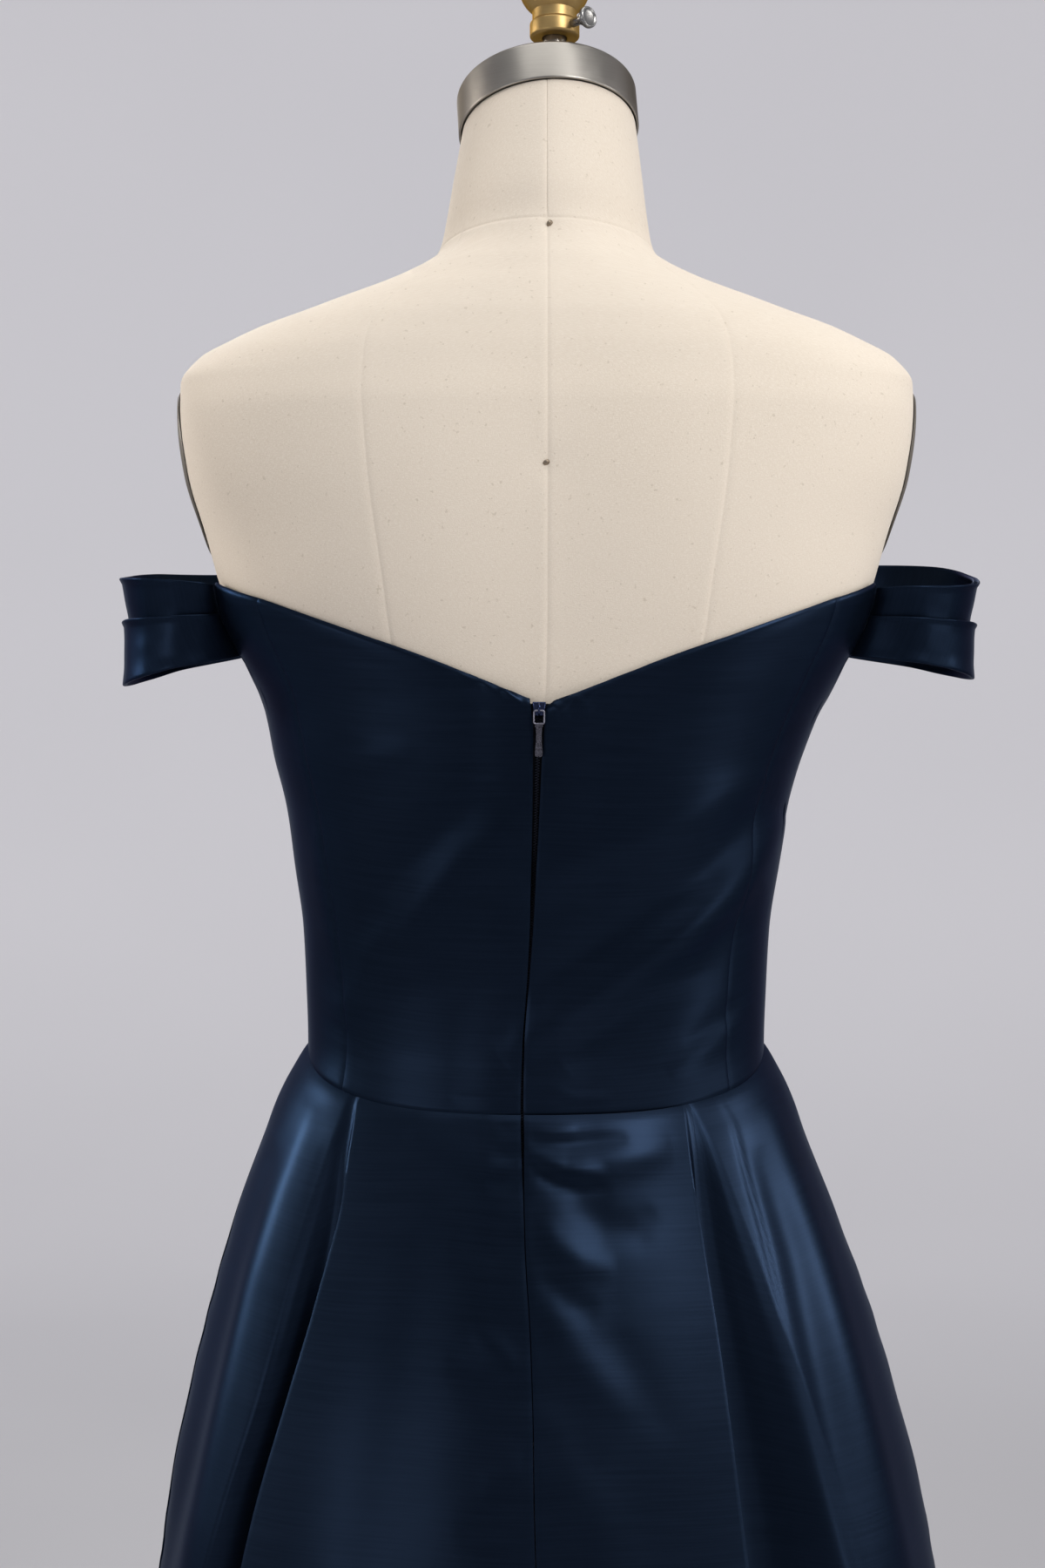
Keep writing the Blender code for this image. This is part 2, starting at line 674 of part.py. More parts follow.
def plate_side_point(y, z, side, lift):
    """On the form's flank at the given y and height, lifted straight out."""
    low, high = 40.0, 140.0
    for _ in range(30):
        middle = (low + high) / 2
        if form_radius(middle, z) * math.cos(math.radians(middle)) > y:
            low = middle
        else:
            high = middle
    out = form_radius(low, z) * math.sin(math.radians(low))
    return Vector((side * (out + lift) + value_at(LEAN, z) * MM, y, z))


def make_arm_plate(name, side, material):
    """Oval domed plate that closes the armhole of the form."""
    cells = 8

    def disc(i, j):
        u, v = 2 * i / cells - 1, 2 * j / cells - 1
        return u * math.sqrt(1 - v * v / 2), v * math.sqrt(1 - u * u / 2)

    def inner(i, j):
        u, v = disc(i, j)
        y = PLATE_CENTRE[0] + PLATE_HALF_DEPTH * u
        z = PLATE_CENTRE[1] + PLATE_HALF_HEIGHT * v
        return plate_side_point(y, z, side, PLATE_GAP)

    mesh = sheet_mesh(cells, cells, inner)
    grown = bmesh.ops.extrude_face_region(mesh, geom=mesh.faces[:])
    for vertex in [g for g in grown["geom"] if isinstance(g, bmesh.types.BMVert)]:
        u = (vertex.co.y - PLATE_CENTRE[0]) / PLATE_HALF_DEPTH
        v = (vertex.co.z - PLATE_CENTRE[1]) / PLATE_HALF_HEIGHT
        rise = PLATE_DOME * (1 - min(1.0, u * u + v * v))
        vertex.co.x += side * (PLATE_EDGE + rise)
    bmesh.ops.recalc_face_normals(mesh, faces=mesh.faces)
    return finished(name, mesh, material)


def make_stand(steel, iron):
    """Post with the flange that carries the form, on a round base."""
    top = FORM_BASE_HEIGHT - SEAM_GAP
    post = (
        (0.0, HUB_HEIGHT + SEAM_GAP),
        (POST_RADIUS, HUB_HEIGHT + SEAM_GAP),
        (POST_RADIUS, top - FLANGE_THICKNESS),
        (FLANGE_RADIUS, top - FLANGE_THICKNESS),
        (FLANGE_RADIUS, top),
        (0.0, top),
    )
    finished("stand_post", turned(post, steps=28), steel)
    base = (
        (0.0, 0.0),
        (BASE_RADIUS, 0.0),
        (BASE_RADIUS, BASE_THICKNESS - 4 * MM),
        (BASE_RADIUS - 4 * MM, BASE_THICKNESS),
        (HUB_RADIUS + 8 * MM, BASE_THICKNESS + 3 * MM),
        (HUB_RADIUS, BASE_THICKNESS + 8 * MM),
        (HUB_RADIUS - 6 * MM, HUB_HEIGHT),
        (0.0, HUB_HEIGHT),
    )
    finished("stand_base", turned(base, steps=40), iron)


def panel_columns(stretches):
    """Angles of a panel's columns from (start, end, cells) stretches, ends shared."""
    angles = [stretches[0][0]]
    for start, end, cells in stretches:
        angles += [blend(start, end, k / cells) for k in range(1, cells + 1)]
    return angles


def bodice_panel(name, columns, first_edge, last_edge, material):
    """One cut piece of the bodice. first_edge and last_edge move the outer columns to their seams."""
    low, high = columns[0], columns[-1]
    rows = BODICE_ROWS

    def point(i, j):
        share = j / rows
        start = first_edge(share)
        end = last_edge(share)
        angle = start + (columns[i] - low) / (high - low) * (end - start)
        floor = waist_height(angle) + SEAM_GAP / 2
        height = blend(floor, top_height(angle), share)
        return around(angle, bodice_radius(angle, height), height)

    return cloth(name, len(columns) - 1, rows, point, material, CLOTH)


def back_seam(side, away):
    """Edge at the side back seam on one side of the body, just outside it or inside it."""
    return lambda share: side * (value_at(BACK_SEAM, share) + away * SEAM_TURN)


def zip_edge(side):
    """The zip edge of a back panel, by the share of the way up."""

    def edge(share):
        height = blend(waist_height(0), top_height(0), share)
        return zip_angle(height, side)

    return edge


def upright(angle):
    """An edge that keeps its angle all the way up."""
    return lambda share: angle


def make_bodice(material):
    """Two back panels, two side back panels and a front."""
    bodice_panel("bodice_back_left", panel_columns(((0, 61, 10),)), zip_edge(1), back_seam(1, -1), material)
    bodice_panel("bodice_back_right", panel_columns(((-61, 0, 10),)), back_seam(-1, -1), zip_edge(-1), material)
    side_back = panel_columns(SIDE_BACK_STRETCHES)
    bodice_panel("bodice_side_back_left", side_back, back_seam(1, 1), upright(90 - SEAM_TURN), material)
    mirrored = [-angle for angle in reversed(side_back)]
    bodice_panel("bodice_side_back_right", mirrored, upright(SEAM_TURN - 90), back_seam(-1, 1), material)
    front = FRONT_COLUMNS + tuple(360 - angle for angle in reversed(FRONT_COLUMNS[:-1]))
    bodice_panel("bodice_front", front, upright(90 + SEAM_TURN), upright(270 - SEAM_TURN), material)


def skirt_radius(angle, share):
    """From the axis to the skirt's outline, before its pleats and folds."""
    facing = math.cos(math.radians(angle))
    spread_side = value_at(SKIRT_SPREAD, share, 1)
    spread_face = value_at(SKIRT_SPREAD, share, 2 if facing > 0 else 3)
    return bodice_radius(angle, waist_height(angle)) + blend(spread_side, spread_face, facing * facing)


def fold_depth(angle, share):
    """How far the soft folds draw the cloth in."""
    depth = 0.0
    for at_waist, at_hem, reach, hem_depth, start in SOFT_FOLDS:
        if share <= start:
            continue
        growth = ((share - start) / (1 - start)) ** 1.1
        depth += hem_depth * MM * growth * soft_bump(turn_between(angle, blend(at_waist, at_hem, share)), 2 * reach)
    return depth


def skirt_point(angle, share, depth):
    low = waist_height(angle) - SEAM_GAP / 2
    height = blend(low, HEM_HEIGHT, share)
    radius = skirt_radius(angle, share) - fold_depth(angle, share) - depth
    return around(angle, radius, height)


def plain_columns(start, end, cells):
    """Columns of a smooth stretch. start and end give their angle by the share of the way down."""

    def column(k):
        return lambda share: (blend(start(share), end(share), k / cells), 0.0)

    return [column(k) for k in range(cells + 1)]


def pleat_columns(name, side, turn=0):
    """Columns of a deep pleat from its crisp edge to its ridge, both included, counted on by the turn."""
    table = PLEATS[name]
    last = len(PLEAT_PROFILE) - 1

    def column(k, crisp, deep, under):
        def place(share):
            edge = turn + side * value_at(table, share, 1)
            ridge = turn + side * value_at(table, share, 2)
            depth = value_at(PLEAT_DEPTH, share) * MM
            across = blend(k / last, crisp, min(1.0, depth / SHALLOW_PLEAT))
            tuck = UNDERCUT * under * min(1.0, depth / TUCKED_PLEAT) ** 2
            return edge + (across - tuck) * (ridge - edge), deep * depth

        return place

    return [column(k, *row) for k, row in enumerate(PLEAT_PROFILE)]


def crisp_edge(name, side, turn=0):
    """Angle of a pleat's crisp edge by the share of the way down, counted on by the turn."""
    return lambda share: turn + side * value_at(PLEATS[name], share, 1)


def rolled_ridge(name, side, turn=0):
    """Angle of a pleat's rolled ridge by the share of the way down, counted on by the turn."""
    return lambda share: turn + side * value_at(PLEATS[name], share, 2)


def skirt_panel(name, columns, material):
    rows = len(SKIRT_ROWS) - 1

    def point(i, j):
        share = SKIRT_ROWS[rows - j]
        angle, depth = columns[i](share)
        return skirt_point(angle, share, depth)

    return cloth(name, len(columns) - 1, rows, point, material, CLOTH)


def skirt_zip_angle(side):
    def edge(share):
        height = blend(waist_height(0), HEM_HEIGHT, share)
        across = value_at(ZIP_LINE, height) * MM + side * value_at(ZIP_OPENING, height) * MM
        return math.degrees(across / skirt_radius(0, share))

    return edge


def side_seam(angle, side):
    """Angle of a skirt panel's side edge, a little to one side of the seam."""
    return lambda share: angle + side * math.degrees(0.75 * SEAM_GAP / skirt_radius(90, share))


def make_skirt(material):
    """Two back panels and a front, joined at the centre back and the sides."""
    left = plain_columns(skirt_zip_angle(1), crisp_edge("back_left", 1), 7)
    left += pleat_columns("back_left", 1)[1:]
    left += plain_columns(rolled_ridge("back_left", 1), side_seam(90, -1), 5)[1:]
    skirt_panel("skirt_back_left", left, material)

    right = plain_columns(side_seam(-90, 1), rolled_ridge("back_right", -1), 7)
    right += pleat_columns("back_right", -1)[-2::-1]
    right += plain_columns(crisp_edge("back_right", -1), skirt_zip_angle(-1), 6)[1:]
    skirt_panel("skirt_back_right", right, material)

    front = plain_columns(side_seam(90, 1), rolled_ridge("front_left", 1), 6)
    front += pleat_columns("front_left", 1)[-2::-1]
    front += plain_columns(crisp_edge("front_left", 1), crisp_edge("front_right", -1, 360), 10)[1:]
    front += pleat_columns("front_right", -1, 360)[1:]
    front += plain_columns(rolled_ridge("front_right", -1, 360), side_seam(270, -1), 6)[1:]
    skirt_panel("skirt_front", front, material)


def corner_point(side, end, height):
    """On the middle of the bodice's wall, along the corner edge that a strap is sewn to."""
    (high_angle, high), (low_angle, low) = STRAP_CORNERS[end]
    angle = side * blend(low_angle, high_angle, (height - low) / (high - low))
    return around(angle, bodice_radius(angle, height), height)


def make_strap(side_name, side, tier, material):
    """One folded band of a strap, from the bodice's back corner to its front corner."""
    cells = 20
    rows = len(STRAP_OFFSETS[tier]) - 1
    heights = STRAP_BANDS[(side_name, tier)]

    def centre(share):
        out = value_at(STRAP_ROUTE, share, 1)
        reach = STRAP_REACH[side_name] * math.sin(math.pi * share) ** 2
        return Vector((out + reach, value_at(STRAP_ROUTE, share, 2), 0))

    def along_route(share, j, height):
        ahead = centre(min(1.0, share + 0.02)) - centre(max(0.0, share - 0.02))
        outward = Vector((ahead.y, -ahead.x, 0)).normalized()
        if outward.dot(centre(share)) < 0:
            outward.negate()
        swell = 0.5 * MM * math.sin(math.pi * j / rows) * math.sin(math.pi * share)
        place = centre(share) + outward * (STRAP_OFFSETS[tier][j] * MM + swell)
        return Vector((side * place.x + value_at(LEAN, height) * MM, place.y, height))

    def at_corner(end, j, height):
        inwards = -1 if end == "back" else 1
        back_off = STRAP_BEHIND - STRAP_END_OFFSETS[tier][j] * MM
        return corner_point(side, end, height) + Vector((side * STRAP_OUTSIDE, inwards * back_off, 0))

    def point(i, j):
        share = i / cells
        height = blend(value_at(heights, share, 2), value_at(heights, share, 1), j / rows)
        at_back = max(0.0, 1 - share / STRAP_TURN) ** 2
        at_front = max(0.0, 1 - (1 - share) / STRAP_TURN) ** 2
        place = along_route(share, j, height) * (1 - at_back - at_front)
        place += at_corner("back", j, height) * at_back
        place += at_corner("front", j, height) * at_front
        return place

    return cloth(f"strap_{side_name}_{tier}", cells, rows, point, material, STRAP_THICKNESS)


def centre_back_point(height, offset, drop):
    """On the zip line, offset sideways, and drop inwards from the middle of the panels."""
    across = value_at(ZIP_LINE, height) * MM + offset
    seam = waist_height(0)

    def out(angle):
        if height >= seam:
            return bodice_radius(angle, height)
        share = (seam - height) / (seam - HEM_HEIGHT)
        return skirt_radius(angle, share) - fold_depth(angle, share)

    angle = math.degrees(across / out(0))
    return around(angle, out(angle) - drop, height)


def make_zip(fabric, metal):
    """Tape under the opening, slider at the top of the zip, and the pull tab that hangs on it."""
    last = len(TAPE_HEIGHTS) - 1

    def tape_point(i, j):
        return centre_back_point(TAPE_HEIGHTS[last - j], (2 - i) / 2 * TAPE_HALF_WIDTH, TAPE_UNDER_PANELS)

    cloth("zip_tape", 4, last, tape_point, fabric, TAPE_THICKNESS)

    seat = centre_back_point(SLIDER_HEIGHT, 0, 0)
    below = centre_back_point(SLIDER_HEIGHT - 0.01, 0, 0)
    lean = math.atan2(seat.y - below.y, seat.z - below.z)
    slant = math.atan2(seat.x - below.x, seat.z - below.z)
    facing = Matrix.Rotation(-lean, 4, "X") @ Matrix.Rotation(slant, 4, "Y")
    place = Matrix.Translation(seat + Vector((0, 0.35 * MM, 0))) @ facing
    make_slider(place, metal)
    front = SLIDER_SIZE.y / 2
    drop = BRIDGE_REACH - BRIDGE_BAR / 2 - WIRE / 2 - 0.35 * MM
    hinge = place @ Matrix.Translation((0, front + 1.1 * MM, -drop))
    make_pull(hinge, metal)


def box(mesh, middle, size):
    bmesh.ops.create_cube(mesh, size=1.0, matrix=Matrix.Translation(middle) @ Matrix.Diagonal((*size, 1)))


def make_slider(place, metal):
    """Body of the slider, and the bridge on it that holds the pull tab."""
    body = bmesh.new()
    box(body, (0, 0, 0), SLIDER_SIZE)
    bmesh.ops.bevel(body, geom=body.edges[:], offset=0.6 * MM, segments=2, profile=0.5, affect="EDGES", material=-1)
    slider = finished("zip_slider", body, metal)
    slider.matrix_world = place

    face = SLIDER_SIZE.y / 2 - 0.4 * MM
    arch = bmesh.new()
    reach, bar = BRIDGE_REACH, BRIDGE_BAR
    box(arch, (0, face + BRIDGE_RISE / 2, 0), (1.6 * MM, BRIDGE_RISE, 2 * reach + bar))
    bridge = finished("slider_bridge", arch, metal)
    bridge.matrix_world = place
    hollow = bmesh.new()
    inside = BRIDGE_RISE - bar
    box(hollow, (0, 0.4 * MM + face + inside / 2, 0), (4 * MM, inside, 2 * reach - bar))
    eye = finished("slider_eye", hollow, metal)
    eye.matrix_world = place
    combine(slider, bridge, "UNION")
    combine(slider, eye, "DIFFERENCE")
    return slider


def make_pull(hinge, metal):
    """Pull tab: a wire loop through the bridge, with a tapered blade below it. Its origin is on the hinge."""
    rows = len(TAB_ROWS) - 1
    shares = (-1.0, -0.64, 0.64, 1.0)

    def point(i, j):
        height, half_width = TAB_ROWS[rows - j][:2]
        return Vector((shares[i] * half_width * MM, 0, height * MM))

    mesh = bmesh.new()
    bmesh.ops.create_grid(mesh, x_segments=3, y_segments=rows, size=1.0)
    drop = []
    for face in mesh.faces:
        middle = face.calc_center_median()
        i = int((middle.x + 1) / 2 * 3)
        j = rows - 1 - int((middle.y + 1) / 2 * rows)
        solid = TAB_ROWS[j][2] if i == 1 else TAB_ROWS[j][3]
        if not solid:
            drop.append(face)
    for vertex in mesh.verts:
        i = round((vertex.co.x + 1) / 2 * 3)
        j = round((vertex.co.y + 1) / 2 * rows)
        vertex.co = point(i, j)
    bmesh.ops.delete(mesh, geom=drop, context="FACES")
    grown = bmesh.ops.extrude_face_region(mesh, geom=mesh.faces[:])
    outer = {item for item in grown["geom"] if isinstance(item, bmesh.types.BMVert)}
    for vertex in mesh.verts:
        vertex.co.y += WIRE / 2 if vertex in outer else -WIRE / 2
    bmesh.ops.recalc_face_normals(mesh, faces=mesh.faces)
    pull = finished("zip_pull_tab", mesh, metal, smooth=False)
    pull.matrix_world = hinge
    return pull


def main():
    for old in list(bpy.data.objects):
        bpy.data.objects.remove(old)
    satin = make_material("navy satin", (0.010, 0.018, 0.045), 0.42)
    linen = make_material("cream linen", (0.78, 0.70, 0.58), 0.85)
    steel = make_material("brushed steel", (0.55, 0.53, 0.50), 0.34, 1.0)
    brass = make_material("aged brass", (0.72, 0.48, 0.20), 0.38, 1.0)
    plate = make_material("grey plate", (0.22, 0.20, 0.17), 0.5)
    iron = make_material("black iron", (0.03, 0.03, 0.03), 0.5, 0.6)
    tape = make_material("navy zip tape", (0.006, 0.009, 0.02), 0.8)
    slider = make_material("dark zip metal", (0.02, 0.022, 0.035), 0.35, 0.7)

    make_torso(linen)
    make_neck_cap(steel)
    make_finial(brass)
    make_thumb_screw(steel)
    make_arm_plate("form_arm_plate_left", 1, plate)
    make_arm_plate("form_arm_plate_right", -1, plate)
    make_stand(steel, iron)
    make_bodice(satin)
    make_skirt(satin)
    for side_name, side in (("left", 1), ("right", -1)):
        for tier in ("upper", "lower"):
            make_strap(side_name, side, tier, satin)
    make_zip(tape, slider)


main()
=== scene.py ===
import math

import bmesh
import bpy
import numpy as np
from mathutils import Matrix, Vector


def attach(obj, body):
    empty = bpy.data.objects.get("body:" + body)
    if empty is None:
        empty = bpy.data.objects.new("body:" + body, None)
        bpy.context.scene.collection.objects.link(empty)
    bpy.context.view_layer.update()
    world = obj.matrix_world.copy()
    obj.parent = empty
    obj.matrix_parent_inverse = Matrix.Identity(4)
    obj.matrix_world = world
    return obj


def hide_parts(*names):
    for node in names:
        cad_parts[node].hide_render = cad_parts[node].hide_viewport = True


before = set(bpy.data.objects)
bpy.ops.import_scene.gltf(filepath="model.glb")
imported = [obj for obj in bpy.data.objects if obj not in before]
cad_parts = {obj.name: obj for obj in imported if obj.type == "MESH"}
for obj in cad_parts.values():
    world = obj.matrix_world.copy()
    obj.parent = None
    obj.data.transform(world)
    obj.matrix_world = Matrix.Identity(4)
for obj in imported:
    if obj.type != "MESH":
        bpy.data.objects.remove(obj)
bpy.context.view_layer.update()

mm = 0.001
print("frame loaded")


# Shader maths

class Value:
    # wraps a socket, so that an expression on values adds its Math nodes
    def __init__(self, paint, socket):
        self.paint = paint
        self.socket = socket

    def __add__(self, other):
        return self.paint.math("ADD", self, other)

    def __sub__(self, other):
        return self.paint.math("SUBTRACT", self, other)

    def __rsub__(self, other):
        return self.paint.math("SUBTRACT", other, self)

    def __mul__(self, other):
        return self.paint.math("MULTIPLY", self, other)

    __radd__ = __add__
    __rmul__ = __mul__


class Paint:
    # one material with its Principled shader; fixed holds what is the same all over
    def __init__(self, name, fixed):
        self.material = bpy.data.materials.new(name)
        self.material.use_nodes = True
        self.tree = self.material.node_tree
        self.shader = self.tree.nodes["Principled BSDF"]
        self.places = self.node("ShaderNodeTexCoord", {}, {}, "Object")
        self.cloth = Value(self, self.places.socket.node.outputs["UV"])
        for socket, value in fixed.items():
            self.shader.inputs[socket].default_value = value

    def node(self, kind, settings, inputs, output=0):
        made = self.tree.nodes.new(kind)
        for name, value in settings.items():
            setattr(made, name, value)
        for name, value in inputs.items():
            self.feed(made.inputs[name], value)
        return Value(self, made.outputs[output])

    def feed(self, socket, value):
        if isinstance(value, Value):
            self.tree.links.new(value.socket, socket)
        else:
            socket.default_value = value

    def math(self, operation, first, second):
        return self.node("ShaderNodeMath", {"operation": operation}, {0: first, 1: second})

    def axis(self, name):
        return self.node("ShaderNodeSeparateXYZ", {}, {0: self.places}, name)

    def noise(self, scale, detail, places=None):
        return self.node("ShaderNodeTexNoise", {}, {
            "Vector": places or self.places, "Scale": scale, "Detail": detail,
        })

    def streaks(self, places, scale, detail=2.0):
        # noise with its own scale along each axis
        return self.noise(1.0, detail, self.node("ShaderNodeMapping", {}, {"Vector": places, "Scale": scale}))

    def ribs(self, places, scale):
        settings = {"wave_type": "BANDS", "bands_direction": "X"}
        return self.node("ShaderNodeTexWave", settings, {"Vector": places, "Scale": scale}, 1)

    def between(self, value, low, high):
        # 0 below low and 1 above high, with soft ends
        settings = {"interpolation_type": "SMOOTHSTEP"}
        return self.node("ShaderNodeMapRange", settings, {0: value, 1: low, 2: high, 3: 0.0, 4: 1.0})

    def mix(self, factor, first, second):
        inputs = {0: factor, 6: first, 7: second}
        return self.node("ShaderNodeMix", {"data_type": "RGBA"}, inputs, 2)

    def bump(self, height, distance, strength):
        return self.node("ShaderNodeBump", {}, {"Height": height, "Distance": distance, "Strength": strength})

    def set(self, **inputs):
        for name, value in inputs.items():
            self.feed(self.shader.inputs[name.replace("_", " ")], value)
        return self.material


def rgb(red, green, blue):
    return (red, green, blue, 1.0)


# Smooth readings of tables

class Curve:
    # a column of a table, read by a smooth line that never overshoots its rows
    def __init__(self, rows, column=1):
        self.xs = np.array([row[0] for row in rows], float)
        self.ys = np.array([row[column] for row in rows], float)
        slopes = np.diff(self.ys) / np.diff(self.xs)
        before, after = slopes[:-1], slopes[1:]
        total = np.where(before * after > 0, before + after, 1.0)
        inner = np.where(before * after > 0, 2 * before * after / total, 0.0)
        self.bends = np.concatenate([slopes[:1], inner, slopes[-1:]])

    def __call__(self, at):
        at = np.clip(np.asarray(at, float), self.xs[0], self.xs[-1])
        i = np.clip(np.searchsorted(self.xs, at, side="right") - 1, 0, len(self.xs) - 2)
        width = self.xs[i + 1] - self.xs[i]
        s = (at - self.xs[i]) / width
        rise = self.ys[i + 1] - self.ys[i]
        start, end = self.bends[i] * width, self.bends[i + 1] * width
        return self.ys[i] + s * start + s * s * (3 * rise - 2 * start - end) + s**3 * (start + end - 2 * rise)


def blend(low, high, share):
    return low + (high - low) * share


def turnBetween(angle, centre):
    return (angle - centre + 180) % 360 - 180


def softBump(distance, reach):
    return 0.5 + 0.5 * np.cos(np.pi * np.clip(np.abs(distance) / reach, 0, 1))


def dent(distance, width):
    return np.exp(-((distance / width) ** 2))


def ridges(distance, rows):
    # soft ridges, or grooves, along an edge: distance from it, width, rise in mm
    return sum(rise * mm * dent(distance - away * mm, width * mm) for away, width, rise in rows)


# The figure under the gown

figure = {
    "rings": (  # height, half width, depth behind and in front, centre's y, tilt in degrees, squareness
        (0.770, 0.1400, 0.093, 0.082, 0.000, 0, 2.2),
        (0.785, 0.1460, 0.099, 0.087, 0.000, 0, 2.2),
        (0.830, 0.1505, 0.103, 0.090, 0.000, 0, 2.2),
        (0.880, 0.1480, 0.102, 0.089, 0.000, 0, 2.2),
        (0.930, 0.1390, 0.097, 0.087, 0.000, 0, 2.2),
        (0.980, 0.1255, 0.089, 0.083, 0.000, 0, 2.2),
        (1.020, 0.1167, 0.083, 0.079, 0.000, 0, 2.2),
        (1.040, 0.1148, 0.081, 0.078, 0.000, 0, 2.2),
        (1.070, 0.1158, 0.083, 0.080, 0.000, 0, 2.2),
        (1.100, 0.1174, 0.089, 0.085, 0.000, 0, 2.25),
        (1.130, 0.1216, 0.095, 0.094, 0.000, 0, 2.3),
        (1.160, 0.1258, 0.101, 0.105, 0.000, 0, 2.35),
        (1.190, 0.1337, 0.105, 0.113, 0.000, 0, 2.4),
        (1.210, 0.1397, 0.107, 0.113, 0.000, 0, 2.45),
        (1.230, 0.1490, 0.108, 0.110, 0.000, 0, 2.55),
        (1.250, 0.1590, 0.108, 0.104, 0.000, 0, 2.7),
        (1.275, 0.1672, 0.107, 0.096, 0.000, 0, 2.8),
        (1.300, 0.1737, 0.105, 0.090, 0.000, 0, 2.8),
        (1.330, 0.1828, 0.101, 0.083, 0.000, 0, 2.8),
        (1.360, 0.1873, 0.095, 0.076, 0.000, 0, 2.8),
        (1.378, 0.1880, 0.090, 0.071, -0.001, 0, 2.7),
        (1.390, 0.1798, 0.086, 0.068, -0.002, 1, 2.6),
        (1.3975, 0.1665, 0.083, 0.066, -0.003, 2, 2.5),
        (1.4045, 0.1520, 0.080, 0.064, -0.004, 3, 2.4),
        (1.4110, 0.1345, 0.077, 0.062, -0.006, 4, 2.3),
        (1.4180, 0.1165, 0.073, 0.060, -0.008, 5, 2.2),
        (1.4240, 0.1005, 0.069, 0.058, -0.010, 6, 2.1),
        (1.4300, 0.0845, 0.065, 0.057, -0.012, 8, 2.0),
        (1.4365, 0.0700, 0.061, 0.056, -0.015, 10, 2.0),
        (1.4430, 0.0600, 0.058, 0.055, -0.017, 12, 2.0),
        (1.4520, 0.0555, 0.0555, 0.054, -0.019, 14, 2.0),
        (1.4650, 0.0530, 0.0540, 0.0535, -0.021, 16, 2.0),
        (1.4900, 0.0497, 0.0515, 0.0515, -0.028, 19, 2.0),
        (1.5178, 0.0459, 0.0484, 0.0484, -0.035, 22, 2.0),
    ),
    "lean": (  # height, shift to the wearer's left in mm
        (0.012, -3.2),
        (0.767, -2.7),
        (0.812, -1.6),
        (0.857, -0.3),
        (0.905, 1.1),
        (0.950, 3.0),
        (0.990, 3.6),
        (1.040, 2.9),
        (1.100, 2.7),
        (1.180, 2.2),
        (1.205, 0.2),
        (1.222, -1.6),
        (1.260, -2.2),
        (1.452, -2.7),
        (1.518, -4.1),
    ),
    "swells": (  # on both sides: angle, height, reach in degrees and in metres, rise
        (147, 1.188, 20, 0.040, 15 * mm),
        (38, 1.300, 18, 0.050, 3 * mm),
    ),
    "neckFoot": 1.452,
    "neckTop": 1.5178,
    "neckRoll": 3.7,
    "bottom": 0.770,
}
ringOf = {name: Curve(figure["rings"], k + 1) for k, name in enumerate(
    ("halfWidth", "behind", "inFront", "centre", "tilt", "squareness"))}
leanOf = Curve(figure["lean"])


def formRadius(angle, height):
    turn = np.radians(angle)
    depth = np.where(np.cos(turn) > 0, ringOf["behind"](height), ringOf["inFront"](height))
    power = ringOf["squareness"](height)
    across = np.abs(np.sin(turn)) / ringOf["halfWidth"](height)
    along = np.abs(np.cos(turn)) / depth
    radius = (across**power + along**power) ** (-1 / power)
    for centre, level, reach, spread, rise in figure["swells"]:
        for side in (1, -1):
            away = np.hypot(turnBetween(angle, side * centre) / reach, (height - level) / spread)
            radius = radius + rise * np.exp(-away * away / 2)
    return radius


def around(angle, radius, height):
    turn = np.radians(angle)
    x = radius * np.sin(turn) + leanOf(height) * mm
    return np.stack(np.broadcast_arrays(x, radius * np.cos(turn), height), axis=-1)


def formPoints(angle, level, rise=0.0):
    # the skin of the figure; its rings lean forward towards the neck
    radius = formRadius(angle, level) + rise
    turn, tilt = np.radians(angle), np.radians(ringOf["tilt"](level))
    share = (level - figure["neckFoot"]) / (figure["neckTop"] - figure["neckFoot"])
    roll = np.radians(figure["neckRoll"]) * np.clip(share, 0, None)
    x, y = radius * np.sin(turn), radius * np.cos(turn)
    y, z = y * np.cos(tilt), y * np.sin(tilt)
    x, z = x * np.cos(roll) + z * np.sin(roll), z * np.cos(roll) - x * np.sin(roll)
    x = x + leanOf(level) * mm
    return np.stack(np.broadcast_arrays(x, y + ringOf["centre"](level), z + level), axis=-1)


# Pieces

sides = (("left", 1), ("right", -1))


def finish(name, mesh, material, body="root", replaced="", sharp=60, place=None):
    # a bmesh becomes a named piece on its body; edges past sharp degrees stay crisp
    if place is not None:
        bmesh.ops.transform(mesh, matrix=place, verts=mesh.verts)
    data = bpy.data.meshes.new(name)
    mesh.to_mesh(data)
    mesh.free()
    data.materials.append(material)
    data.shade_smooth()
    data.set_sharp_from_angle(angle=math.radians(sharp))
    made = bpy.data.objects.new(name, data)
    bpy.context.scene.collection.objects.link(made)
    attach(made, body)
    if replaced:
        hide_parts(replaced)
    return made


